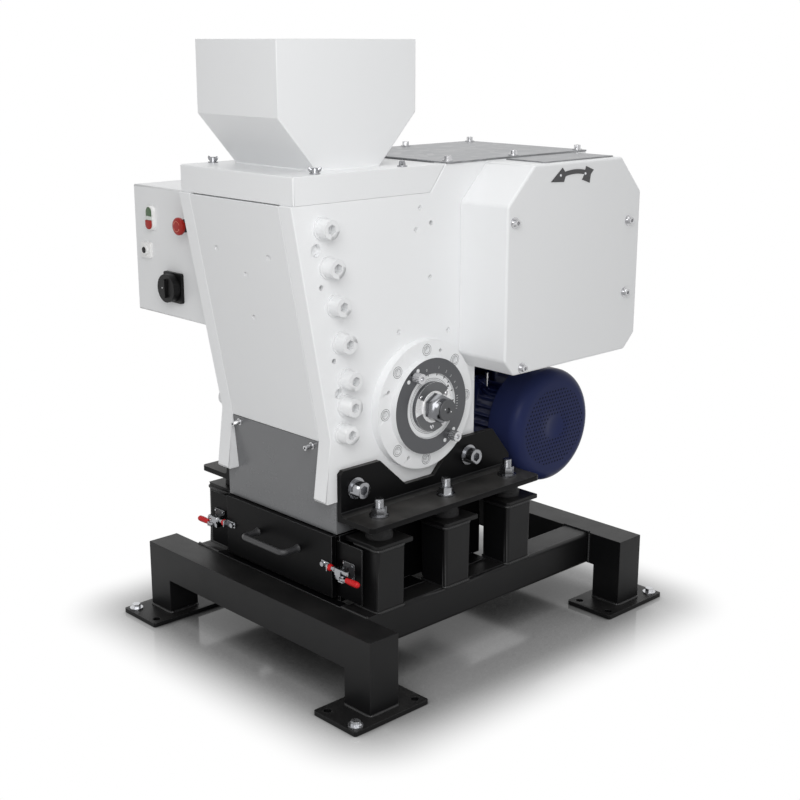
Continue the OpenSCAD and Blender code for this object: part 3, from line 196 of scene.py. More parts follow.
def rings(name: str, points: Array, loop: bool = False, crisp: float = 35.0) -> Obj:
    """Makes a closed piece from rings of points, joined by four-sided faces.

    Args:
        name: Object name.
        points: Array (rings, points on a ring, 3) in millimetres.
        loop: True where the last ring is joined to the first; otherwise both ends are closed.
        crisp: Angle in degrees above which an edge stays sharp.

    Returns:
        The new object.
    """
    m, n, _ = points.shape
    i = np.arange(m if loop else m - 1)[:, None]
    j = np.arange(n)[None, :]
    i2, j2 = (i + 1) % m, (j + 1) % n
    faces = np.stack([i * n + j, i * n + j2, i2 * n + j2, i2 * n + j], -1).reshape(-1, 4).tolist()
    if not loop:
        faces += [list(range(n))[::-1], [(m - 1) * n + k for k in range(n)]]
    verts = points.reshape(-1, 3)
    return shell(name, verts, outward(verts, faces), crisp)


def lathe(name: str, profile: Sequence[tuple[float, float]], at: Vec, axis: Vec, around: int = 48,
          crisp: float = 35.0, loop: bool = False) -> Obj:
    """Turns a profile round an axis: point = at + h * axis + r * (cos t * e1 + sin t * e2).

    Args:
        name: Object name.
        profile: Pairs of radius and height, from one end to the other.
        at: Point on the axis where the height is zero.
        axis: Direction of the axis.
        around: Number of steps round the axis.
        crisp: Angle in degrees above which an edge stays sharp.
        loop: True for a profile that closes on itself, which leaves the middle open.

    Returns:
        The new object.
    """
    a = unit(axis)
    e1 = unit(np.cross(Z if abs(a[2]) < 0.9 else Y, a))
    e2 = np.cross(a, e1)
    r, h = np.asarray(profile, float).T
    t = np.linspace(0, 2 * np.pi, around, endpoint=False)
    spoke = np.cos(t)[:, None] * e1 + np.sin(t)[:, None] * e2
    points = np.asarray(at, float) + h[:, None, None] * a + np.maximum(r, 0.01)[:, None, None] * spoke[None]
    return rings(name, points, loop, crisp)


def sweep(name: str, path: Array, radius: Array | float, normal: Vec, around: int = 16,
          closed: bool = False) -> Obj:
    """Carries a circle along a flat path: point = path + r * (cos t * n + sin t * b).

    Args:
        name: Object name.
        path: Points of the path in millimetres, all in one plane.
        radius: One radius, or one for each point of the path.
        normal: Normal of the plane of the path.
        around: Points on the circle.
        closed: True for a path that closes on itself.

    Returns:
        The new object.
    """
    along = np.roll(path, -1, 0) - np.roll(path, 1, 0) if closed else np.gradient(path, axis=0)
    along /= np.linalg.norm(along, axis=1)[:, None]
    n = unit(normal)
    b = np.cross(along, n)
    t = np.linspace(0, 2 * np.pi, around, endpoint=False)[None, :, None]
    r = np.broadcast_to(np.asarray(radius, float), (len(path),))[:, None, None]
    points = path[:, None, :] + r * (np.cos(t) * n + np.sin(t) * b[:, None, :])
    return rings(name, points, closed, 60)


def plate(name: str, outline: Array, lo: float, hi: float, origin: Vec, e1: Vec, e2: Vec,
          round_mm: float = 0.0) -> Obj:
    """Makes a flat plate: point = origin + u * e1 + v * e2 + w * (e1 x e2), with w from lo to hi.

    Args:
        name: Object name.
        outline: Corners (u, v) in millimetres, in order.
        lo: Lower face.
        hi: Upper face.
        origin: Origin of the plate's own frame.
        e1: Direction of u.
        e2: Direction of v.
        round_mm: Width of the rounding of its edges, or 0 for none.

    Returns:
        The new object.
    """
    a, b = unit(e1), unit(e2)
    w = np.cross(a, b)
    flat = np.asarray(origin, float) + outline[:, :1] * a + outline[:, 1:] * b
    obj = rings(name, np.stack([flat + lo * w, flat + hi * w]), crisp=25)
    if round_mm:
        soften(obj, round_mm)
    return obj


def soften(obj: Obj, width: float, weighted: bool = False, segments: int = 3) -> None:
    """Adds a live rounding of the edges to a piece.

    Args:
        obj: The piece.
        width: Width of the rounding in millimetres.
        weighted: True where each edge has its own share of the width.
        segments: Steps across the rounding.
    """
    bevel = obj.modifiers.new("rounding", "BEVEL")
    bevel.width = width * MM
    bevel.segments = segments
    bevel.limit_method = "WEIGHT" if weighted else "ANGLE"
    bevel.angle_limit = math.radians(30)
    bevel.harden_normals = True


def round_outline(w: float, h: float, r: float, steps: int = 6) -> Array:
    """Outline of a rectangle with round corners, centred: corner centre + r * (cos t, sin t).

    Args:
        w: Width.
        h: Height.
        r: Radius of the corners.
        steps: Steps in each corner.

    Returns:
        The points, counter-clockwise.
    """
    t = np.linspace(0, np.pi / 2, steps + 1)
    corners = []
    for k, (sx, sy) in enumerate(((1, 1), (-1, 1), (-1, -1), (1, -1))):
        a = t + k * np.pi / 2
        corners.append(np.stack([sx * (w / 2 - r) + r * np.cos(a), sy * (h / 2 - r) + r * np.sin(a)], 1))
    return np.concatenate(corners)


def level_loop(w: float, h: float, r: float, at: Vec) -> Array:
    """Carries a rounded rectangle to a point in space, lying flat."""
    flat = round_outline(w, h, r)
    return np.column_stack([flat, np.zeros(len(flat))]) + at


def resample(path: Array, step: float, closed: bool = False) -> Array:
    """Spreads points evenly along a path of straight runs, about one for each step.

    Args:
        path: Corners of the runs.
        step: Way from point to point, about.
        closed: True where the last corner joins the first.

    Returns:
        The points along the path.
    """
    p = np.vstack([path, path[:1]]) if closed else path
    run = np.concatenate([[0], np.cumsum(np.linalg.norm(np.diff(p, axis=0), axis=1))])
    s = np.linspace(0, run[-1], max(int(run[-1] / step), 4) + 1)
    if closed:
        s = s[:-1]
    return np.stack([np.interp(s, run, p[:, k]) for k in range(3)], 1)


def joined(name: str, parts: list[Obj]) -> Obj:
    """Joins pieces without live modifiers into one object of the given name.

    Args:
        name: Name of the joined object.
        parts: The pieces, which are removed.

    Returns:
        The new object.
    """
    verts, faces, base = [], [], 0
    for part in parts:
        verts.append(pulled(part.data.vertices, "co", 3) / MM)
        faces += [[base + v for v in p.vertices] for p in part.data.polygons]
        base += len(part.data.vertices)
        bpy.data.objects.remove(part)
    return shell(name, np.concatenate(verts), faces, 40)


# CAD copies


def clean_copy(node: str, crisp: float = 32.0) -> Obj:
    """Copies a CAD node, joins its loose triangles and flat areas, and hides the node.

    Args:
        node: Name of the CAD node that the copy stands for.
        crisp: Angle in degrees above which an edge stays sharp, or 0 for flat faces.

    Returns:
        The copy, riding on the node's body.
    """
    source = frame["nodes"][node]
    work = bmesh.new()
    work.from_mesh(source.data)
    bmesh.ops.remove_doubles(work, verts=work.verts, dist=2e-6)
    bmesh.ops.dissolve_limit(work, angle_limit=math.radians(0.4), use_dissolve_boundaries=False,
                             verts=work.verts, edges=work.edges)
    mesh = bpy.data.meshes.new(node + "_finished")
    work.to_mesh(mesh)
    work.free()
    shade(mesh, crisp)
    obj = placed(node + "_finished", mesh)
    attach(obj, source["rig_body"])
    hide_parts(node)
    return obj


def weigh_edges(obj: Obj, mask: Mask) -> None:
    """Stores each edge's share of the rounding.

    An edge counts where its two faces turn by more than 25 degrees, and the mask gives its
    share from its middle, direction and length.

    Args:
        obj: The copy of a CAD node.
        mask: Called with the edges' middles, directions and lengths, in millimetres.
    """
    mesh = obj.data
    co = pulled(mesh.vertices, "co", 3) / MM
    ends = pulled(mesh.edges, "vertices", 2, int)
    loop_edge = pulled(mesh.loops, "edge_index", 1, int)
    normal = pulled(mesh.polygons, "normal", 3)
    face = np.repeat(np.arange(len(normal)), pulled(mesh.polygons, "loop_total", 1, int))
    order = np.argsort(loop_edge, kind="stable")
    count = np.bincount(loop_edge, minlength=len(ends))
    first = np.concatenate([[0], np.cumsum(count)[:-1]])
    fa, fb = (face[order[np.minimum(first + k, len(order) - 1)]] for k in (0, 1))
    turn = np.degrees(np.arccos(np.clip(np.einsum("ij,ij->i", normal[fa], normal[fb]), -1, 1)))
    a, b = co[ends[:, 0]], co[ends[:, 1]]
    length = np.maximum(np.linalg.norm(b - a, axis=1), 1e-9)
    share = mask((a + b) / 2, np.abs(b - a) / length[:, None], length)
    share = np.where((count == 2) & (turn > 25), np.clip(share, 0, 1), 0.0)
    layer = mesh.attributes.new("bevel_weight_edge", "FLOAT", "EDGE")
    layer.data.foreach_set("value", share.astype(np.float32))


def rounded_copy(node: str, width: float, mask: Mask, segments: int = 3, crisp: float = 32.0) -> Obj:
    """Copies a CAD node and rounds the edges that the mask names.

    Args:
        node: Name of the CAD node.
        width: Width of the rounding in millimetres.
        mask: Gives each edge its share of the width.
        segments: Steps across the rounding.
        crisp: Angle in degrees above which an edge stays sharp, or 0 for flat faces.

    Returns:
        The copy.
    """
    obj = clean_copy(node, crisp)
    weigh_edges(obj, mask)
    soften(obj, width, weighted=True, segments=segments)
    return obj


def longer(limit: float) -> Mask:
    """Returns a mask of the edges longer than a limit in millimetres."""
    return lambda mid, way, length: (length > limit).astype(float)


# Finishes


class Surface(Enum):
    """Kinds of surface, each with its own grain."""

    PAINT = "paint"
    METAL = "metal"
    CAST = "cast"
    SPANGLE = "spangle"
    PLASTIC = "plastic"
    PERFORATED = "perforated"


def linear(colour: Colour) -> tuple[float, ...]:
    """Turns a display colour of 0 to 255 into linear light.

    Args:
        colour: Red, green and blue.

    Returns:
        Red, green, blue and an alpha of 1.
    """
    c = np.asarray(colour, float) / 255
    lin = np.where(c <= 0.04045, c / 12.92, ((c + 0.055) / 1.055) ** 2.4)
    return (*map(float, lin), 1.0)


class Graph:
    """Short words for building one node tree."""

    def __init__(self, tree: bpy.types.NodeTree) -> None:
        """Keeps the tree that is built."""
        self.tree = tree

    def add(self, kind: str, inputs: dict | None = None, **settings: object) -> bpy.types.Node:
        """Adds a node.

        Args:
            kind: Node type without the ShaderNode prefix.
            inputs: Socket name or number to a value or to the output that feeds it.
            **settings: Properties of the node.

        Returns:
            The node.
        """
        node = self.tree.nodes.new(kind if kind.startswith("Node") else "ShaderNode" + kind)
        for key, value in settings.items():
            setattr(node, key, value)
        self.feed(node, inputs or {})
        return node

    def feed(self, node: bpy.types.Node, inputs: dict) -> None:
        """Sets or links the inputs of a node.

        Args:
            node: The node.
            inputs: Socket name or number to a value or to the output that feeds it.
        """
        for key, value in inputs.items():
            if isinstance(value, Socket):
                self.tree.links.new(value, node.inputs[key])
            else:
                node.inputs[key].default_value = value

    def math(self, operation: str, a: object, b: object = 0.0, clamp: bool = False) -> Socket:
        """Adds a Math node and returns its output."""
        return self.add("Math", {0: a, 1: b}, operation=operation, use_clamp=clamp).outputs[0]

    def times(self, *values: object) -> Socket:
        """Multiplies values."""
        return reduce(lambda a, b: self.math("MULTIPLY", a, b), values)

    def plus(self, a: object, b: object) -> Socket:
        """Adds two values."""
        return self.math("ADD", a, b)

    def minus(self, a: object, b: object) -> Socket:
        """Takes the second value from the first."""
        return self.math("SUBTRACT", a, b)

    def about(self, value: object, share: object) -> Socket:
        """Returns (value - 0.5) * share."""
        return self.times(self.minus(value, 0.5), share)

    def reach(self, a: object, b: object) -> Socket:
        """Returns the root of a * a + b * b."""
        return self.math("SQRT", self.plus(self.times(a, a), self.times(b, b)))

    def spread(self, value: object, lo: float, hi: float, to_lo: object, to_hi: object,
               kind: str = "LINEAR") -> Socket:
        """Maps a value from one range to another, clamped, and returns the output."""
        return self.add("MapRange", {0: value, 1: lo, 2: hi, 3: to_lo, 4: to_hi},
                        interpolation_type=kind).outputs[0]

    def noise(self, vector: object, scale: object, detail: float = 2.0, rough: float = 0.5) -> Socket:
        """Adds a noise texture and returns its value."""
        return self.add("TexNoise", {"Vector": vector, "Scale": scale, "Detail": detail,
                                     "Roughness": rough}).outputs[0]

    def mix(self, factor: object, a: object, b: object, blend: str = "MIX") -> Socket:
        """Mixes two colours and returns the output."""
        return self.add("Mix", {0: factor, 6: a, 7: b}, data_type="RGBA", blend_type=blend).outputs[2]


def group(name: str, inputs: dict[str, str], outputs: dict[str, str]) -> tuple[Graph, bpy.types.Node,
                                                                            bpy.types.Node]:
    """Starts a shader node group with named sockets.

    Args:
        name: Name of the group.
        inputs: Input names to socket types, without the NodeSocket prefix.
        outputs: Output names to socket types.

    Returns:
        The group's Graph, its input node and its output node.
    """
    tree = bpy.data.node_groups.new(name, "ShaderNodeTree")
    for way, sockets in (("INPUT", inputs), ("OUTPUT", outputs)):
        for key, kind in sockets.items():
            tree.interface.new_socket(name=key, in_out=way, socket_type="NodeSocket" + kind)
    g = Graph(tree)
    return g, g.add("NodeGroupInput"), g.add("NodeGroupOutput")


def edge_group() -> bpy.types.NodeTree:
    """Group for softened edges: a rounded normal, and a mask of how far it leaves the flat one.

    Returns:
        The group.
    """
    g, given, out = group("softened_edges", {"Radius": "Float"}, {"Normal": "Vector", "Edge": "Float"})
    bevel = g.add("Bevel", {"Radius": given.outputs["Radius"]}, samples=4).outputs[0]
    flat = g.add("NewGeometry").outputs["Normal"]
    dot = g.add("VectorMath", {0: bevel, 1: flat}, operation="DOT_PRODUCT").outputs["Value"]
    g.feed(out, {"Normal": bevel, "Edge": g.spread(dot, 0.995, 0.8, 0.0, 1.0)})
    return g.tree


def settled_dust(g: Graph, place: Socket, colour: Socket, amount: Socket) -> Socket:
    """Lightens upward faces in dusty patches, which also paint light from above, and returns the colour.

    Args:
        g: Graph of the material.
        place: Coordinates of the pattern.
        colour: Colour below the dusty patches and painted top light.
        amount: Strength of the dusty patches and painted top light, 0 to 1.

    Returns:
        The colour with dusty patches and painted top light.
    """
    up = g.add("SeparateXYZ", {0: g.add("NewGeometry").outputs["Normal"]}).outputs[2]
    facing = g.spread(up, 0.5, 0.95, 0.0, 1.0)
    patches = g.spread(g.noise(place, 9.0, 4.0, 0.6), 0.35, 0.75, 0.25, 1.0)
    # Upward faces mix towards a pale grey in patches: dust, and painted light from above.
    return g.mix(g.times(facing, patches, amount), colour, linear((150, 148, 145)))


def air_holes(g: Graph, place: Socket) -> Socket:
    """Mask of the fan cowl's air holes: staggered rows of round dots between two radii.

    The place is counted in pitches from the cowl's axis. Every second row is moved by half a
    pitch, and a dot ends where the distance to the middle of its cell goes from 0.25 to 0.33.

    Args:
        g: Graph of the group.
        place: Object coordinates in metres.

    Returns:
        One inside a hole and nought elsewhere.
    """
    split = g.add("SeparateXYZ", {0: place}).outputs
    u = g.math("DIVIDE", g.minus(split[1], COWL.y * MM), COWL.pitch[0] * MM)
    v = g.math("DIVIDE", g.minus(split[2], COWL.z * MM), COWL.pitch[1] * MM)
    shift = g.times(g.math("FLOORED_MODULO", g.math("FLOOR", v), 2.0), 0.5)
    du = g.minus(g.math("FRACT", g.plus(u, shift)), 0.5)
    dv = g.minus(g.math("FRACT", v), 0.5)
    dot = g.spread(g.reach(du, dv), 0.25, 0.33, 1.0, 0.0)
    far = g.reach(u, v)
    first, last = COWL.hole_rows
    inside = g.times(g.math("GREATER_THAN", far, first), g.math("LESS_THAN", far, last))
    return g.times(dot, inside, g.math("GREATER_THAN", split[0], (COWL.face_x - 1.5) * MM))


def skin_group(surface: Surface) -> bpy.types.NodeTree:
    """Builds the group that gives a surface its colour variation, roughness and fine relief.

    Args:
        surface: Which grain to build.

    Returns:
        The group, with the outputs Colour, Roughness and Height.
    """
    g, given, out = group(
        surface.value + "_skin",
        {"Colour": "Color", "Variation": "Float", "Roughness": "Float", "Dust": "Float",
         "Grain": "Float", "Stretch": "Vector"},
        {"Colour": "Color", "Roughness": "Float", "Height": "Float"})
    place = g.add("TexCoord").outputs["Object"]
    pick = given.outputs
    amount, grain = pick["Variation"], pick["Grain"]
    cloud = g.noise(place, 3.2, 3.0, 0.55)
    fine = g.noise(g.add("Mapping", {"Vector": place, "Scale": pick["Stretch"]}).outputs[0], grain, 3.0, 0.6)
    if surface in (Surface.SPANGLE, Surface.METAL):
        height, share = fine, 0.3
        if surface is Surface.SPANGLE:
            cells = g.add("TexVoronoi", {"Vector": place, "Scale": grain, "Randomness": 1.0})
            height, share = g.add("SeparateColor", {0: cells.outputs["Color"]}).outputs[0], 0.25
        level = g.plus(g.about(height, amount), g.about(cloud, amount))
        rough = g.about(height, share)
    elif surface is Surface.CAST:
        pits = g.add("TexVoronoi", {"Vector": place, "Scale": grain}).outputs["Distance"]
        level, rough = g.about(fine, amount), g.about(pits, 0.2)
        height = g.plus(g.times(pits, 0.5), fine)
    elif surface is Surface.PERFORATED:
        hole = air_holes(g, place)
        # The air holes are dark dots with a sunk bump: painted shade of the openings.
        level = g.minus(g.about(cloud, amount), g.times(hole, 0.72))
        rough, height = g.times(hole, 0.35), g.minus(1.0, hole)
    else:
        level, rough = g.about(cloud, amount), g.about(g.noise(place, 17.0, 4.0, 0.65), 0.16)
        height = g.noise(place, grain, 2.0, 0.4)
    tone = g.plus(1.0, level)
    grey = g.add("CombineColor", {0: tone, 1: tone, 2: tone}).outputs[0]
    colour = settled_dust(g, place, g.mix(1.0, pick["Colour"], grey, "MULTIPLY"), pick["Dust"])
    g.feed(out, {"Colour": colour, "Roughness": g.plus(pick["Roughness"], rough), "Height": height})
    return g.tree


@dataclass(frozen=True)
class Finish:
    """One finish of the machine: its colour, sheen, grain, rubbed edges with painted edge highlight, and
    dusty patches with painted top light.
    """

    name: str
    slot: str
    surface: Surface
    colour: Colour
    roughness: float
    metallic: float = 0.0
    grain: float = 900.0
    relief: float = 0.06
    variation: float = 0.05
    dust: float = 0.0
    edge_mm: float = 0.7
    worn: Colour = (200, 200, 200)
    wear: float = 0.0
    coat: float = 0.0
    specular: float = 0.5
    stretch: tuple[float, float, float] = (1.0, 1.0, 1.0)

    def build(self, groups: dict[str, bpy.types.NodeTree]) -> bpy.types.Material:
        """Builds the material of this finish.

        Args:
            groups: The shared node groups by name.

        Returns:
            The material.
        """
        mat = bpy.data.materials.new(self.name)
        mat.use_nodes = True
        mat.node_tree.nodes.clear()
        g = Graph(mat.node_tree)
        edges = g.add("Group", node_tree=groups["edges"])
        skin = g.add("Group", node_tree=groups[self.surface.value])
        g.feed(edges, {"Radius": self.edge_mm * MM})
        g.feed(skin, {"Colour": linear(self.colour), "Variation": self.variation, "Roughness": self.roughness,
                      "Dust": self.dust, "Grain": self.grain, "Stretch": self.stretch})
        colour = skin.outputs["Colour"]
        # Rounded edges mix towards a lighter colour: painted edge highlight, on the dark paints also wear.
        if self.wear:
            colour = g.mix(g.times(edges.outputs["Edge"], self.wear), colour, linear(self.worn))
        bump = g.add("Bump", {"Strength": self.relief, "Distance": 0.001,
                              "Height": skin.outputs["Height"], "Normal": edges.outputs["Normal"]})
        shader = g.add("BsdfPrincipled", {
            "Base Color": colour, "Roughness": skin.outputs["Roughness"], "Metallic": self.metallic,
            "Normal": bump.outputs[0], "Coat Weight": self.coat, "Coat Roughness": 0.15,
            "Specular IOR Level": self.specular})
        g.add("OutputMaterial", {"Surface": shader.outputs[0]})
        return mat


P, M, C, S, L, H = (Surface.PAINT, Surface.METAL, Surface.CAST, Surface.SPANGLE, Surface.PLASTIC,
                    Surface.PERFORATED)
FINISHES: dict[str, Finish] = {f.name: f for f in (
    # The light edge colours below are painted edge highlights; on the dark paints they also stand for wear.
    Finish("white_body_paint", "white_paint", P, (233, 234, 235), 0.38, relief=0.10, edge_mm=1.6,
           worn=(250, 250, 250), wear=0.25, variation=0.03),
    # Lighter copy of the white body paint for the side plates, flanges and plugs: painted light on the sides.
    Finish("white_paint_painted_side_light", "white_paint", P, (240, 241, 242), 0.38, relief=0.10, edge_mm=1.6,
           worn=(252, 252, 252), wear=0.25, variation=0.03),
    Finish("white_cover_paint", "white_cover", P, (236, 237, 238), 0.34, relief=0.06, edge_mm=1.4,
           worn=(252, 252, 252), wear=0.25, variation=0.025),
    Finish("black_frame_coat", "black_frame", P, (14, 14, 15), 0.38, relief=0.16, grain=520.0,
           edge_mm=2.2, worn=(66, 66, 68), wear=0.35, variation=0.25, dust=0.04, specular=0.19),
    # The bracket's large share lightens its top faces: painted light from above, with some dust.
    Finish("bracket_coat", "black_frame", P, (12, 12, 13), 0.36, relief=0.12, grain=520.0,
           edge_mm=1.6, worn=(80, 80, 82), wear=0.4, variation=0.25, dust=0.24, specular=0.08),
    Finish("black_weld", "black_frame", C, (24, 24, 25), 0.36, relief=0.3, grain=260.0, variation=0.3,
           specular=0.4),
    Finish("black_sheet_coat", "black_sheet", P, (6, 6, 7), 0.4, relief=0.10, grain=700.0,
           edge_mm=1.4, worn=(130, 130, 132), wear=0.6, variation=0.3, specular=0.09),
    Finish("black_handle_coat", "black_handle", P, (50, 50, 52), 0.4, relief=0.1, grain=800.0,
           variation=0.15),
    Finish("grey_chute_paint", "grey_paint", P, (106, 107, 109), 0.26, relief=0.05, variation=0.18,
           edge_mm=1.0),
    Finish("navy_motor_paint", "navy_paint", P, (25, 34, 76), 0.4, relief=0.1, grain=600.0,
           worn=(56, 70, 128), wear=0.3, variation=0.12, specular=0.26),
    Finish("navy_cowl_paint", "navy_paint", H, (40, 47, 85), 0.3, relief=0.35, edge_mm=1.0,
           variation=0.12, specular=0.07),
    Finish("bright_steel", "stainless", M, (196, 196, 198), 0.24, 1.0, grain=420.0, variation=0.2,
           edge_mm=0.5),
    Finish("turned_steel", "spindle_steel", M, (150, 151, 154), 0.3, 1.0, grain=500.0, relief=0.1,
           variation=0.25, edge_mm=0.8, stretch=(8.0, 1.0, 1.0)),
    Finish("zinc_steel", "zinc_steel", M, (200, 201, 204), 0.3, 1.0, grain=300.0, variation=0.2,
           edge_mm=0.6),
    Finish("galvanised_sheet", "galvanised", S, (146, 147, 149), 0.42, 0.9, grain=52.0, relief=0.05,
           variation=0.35, edge_mm=0.5),
    Finish("dial_anodised", "dial_grey", P, (83, 84, 87), 0.36, 0.3, relief=0.04, variation=0.16,
           edge_mm=0.6),
    Finish("cap_steel", "spindle_steel", M, (118, 119, 122), 0.2, 1.0, grain=420.0, variation=0.3,
           edge_mm=0.6),
    Finish("arc_steel", "spindle_steel", M, (98, 99, 101), 0.4, 0.3, grain=420.0, relief=0.05,
           variation=0.2, edge_mm=0.6),
    Finish("fastener_steel", "stainless", M, (150, 151, 154), 0.22, 1.0, grain=420.0, relief=0.08,
           variation=0.35, edge_mm=0.5),
    Finish("jaw_steel", "jaw_steel", M, (128, 128, 130), 0.45, 1.0, grain=120.0, relief=0.3,
           variation=0.4),
    Finish("cast_iron", "cast_iron", C, (82, 83, 86), 0.6, 0.6, grain=190.0, relief=0.5, variation=0.3),
    Finish("mount_rubber", "mount_rubber", C, (26, 26, 27), 0.75, grain=320.0, relief=0.2,
           variation=0.25),
    Finish("belt_rubber", "belt_rubber", C, (22, 22, 22), 0.8, grain=260.0, relief=0.3, variation=0.2),
    Finish("white_plastic", "white_plastic", L, (240, 240, 239), 0.3, relief=0.03, edge_mm=0.6, coat=0.3),
    Finish("clear_lens", "white_plastic", L, (205, 212, 206), 0.12, relief=0.01, edge_mm=0.4, coat=0.8),
    Finish("black_plastic", "black_plastic", L, (10, 10, 11), 0.4, relief=0.05, edge_mm=0.6,
           variation=0.1, specular=0.22),
    Finish("green_plastic", "green_plastic", L, (52, 88, 44), 0.3, relief=0.03, edge_mm=0.5, coat=0.2),
    Finish("red_plastic", "red_plastic", L, (162, 27, 16), 0.34, relief=0.03, edge_mm=0.6, coat=0.08,
           variation=0.08, specular=0.25),
    Finish("red_rubber", "red_plastic", L, (196, 22, 26), 0.42, relief=0.08, edge_mm=0.6,
           variation=0.1, specular=0.3),
    Finish("pale_red_mark", "red_plastic", L, (214, 118, 96), 0.4, relief=0.02),
    Finish("arrow_lacquer", "black_plastic", L, (58, 58, 60), 0.35, relief=0.05, edge_mm=0.4,
           variation=0.1),
    Finish("scale_white", "white_plastic", L, (236, 237, 238), 0.4, relief=0.02),
    Finish("scale_grey", "white_plastic", L, (205, 206, 207), 0.4, relief=0.02),
    Finish("groove_shade", "white_paint", L, (112, 113, 115), 0.5, relief=0.02),
    # Near-white steel: painted bright reflection on the steel.
    Finish("steel_painted_bright_reflection", "spindle_steel", M, (244, 244, 245), 0.3, 0.25, grain=500.0, relief=0.04,
           variation=0.06, edge_mm=0.5),
    Finish("dark_steel", "spindle_steel", M, (84, 85, 87), 0.4, 0.5, grain=500.0, relief=0.05,
           variation=0.3, edge_mm=0.6),
    Finish("notch_shade_black", "black_plastic", L, (40, 40, 42), 0.45, relief=0.02),
    Finish("painted_hole_shade", "black_plastic", L, (16, 16, 17), 0.7, relief=0.05),
)}


class Wardrobe:
    """Builds each finish once and puts it on pieces."""

    def __init__(self) -> None:
        """Builds the shared node groups."""
        self.groups = {"edges": edge_group()} | {s.value: skin_group(s) for s in Surface}
        self.made: dict[str, bpy.types.Material] = {}

    def dress(self, obj: Obj, finish: str) -> None:
        """Puts a finish on a piece.

        Args:
            obj: The piece.
            finish: Name of the finish.
        """
        if finish not in self.made:
            self.made[finish] = FINISHES[finish].build(self.groups)
        obj.data.materials.clear()
        obj.data.materials.append(self.made[finish])
        "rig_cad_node" not in obj
        LOG.info("%s: %d faces in %s", obj.name, len(obj.data.polygons), finish)

    def nodes(self, finish: str, *nodes: str) -> None:
        """Dresses CAD nodes as they are."""
        for node in nodes:
            self.dress(frame["nodes"][node], finish)

    def clean(self, finish: str, *nodes: str, crisp: float = 32.0) -> None:
        """Dresses cleaned copies of CAD nodes."""
        for node in nodes:
            self.dress(clean_copy(node, crisp), finish)

    def rounded(self, finish: str, width: float, mask: Mask, *nodes: str, segments: int = 3,
                crisp: float = 32.0) -> None:
        """Dresses rounded copies of CAD nodes."""
        for node in nodes:
            self.dress(rounded_copy(node, width, mask, segments, crisp), finish)

    def fit(self, obj: Obj, body: str, finish: str, node: str = "") -> None:
        """Dresses a new piece and lets it ride on a body.

        Args:
            obj: The piece.
            body: Name of the body.
            finish: Name of the finish.
            node: The CAD node that it replaces, if any.
        """
        self.dress(obj, finish)
        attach(obj, body)
        if node:
            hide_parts(node)


# Sub-assemblies


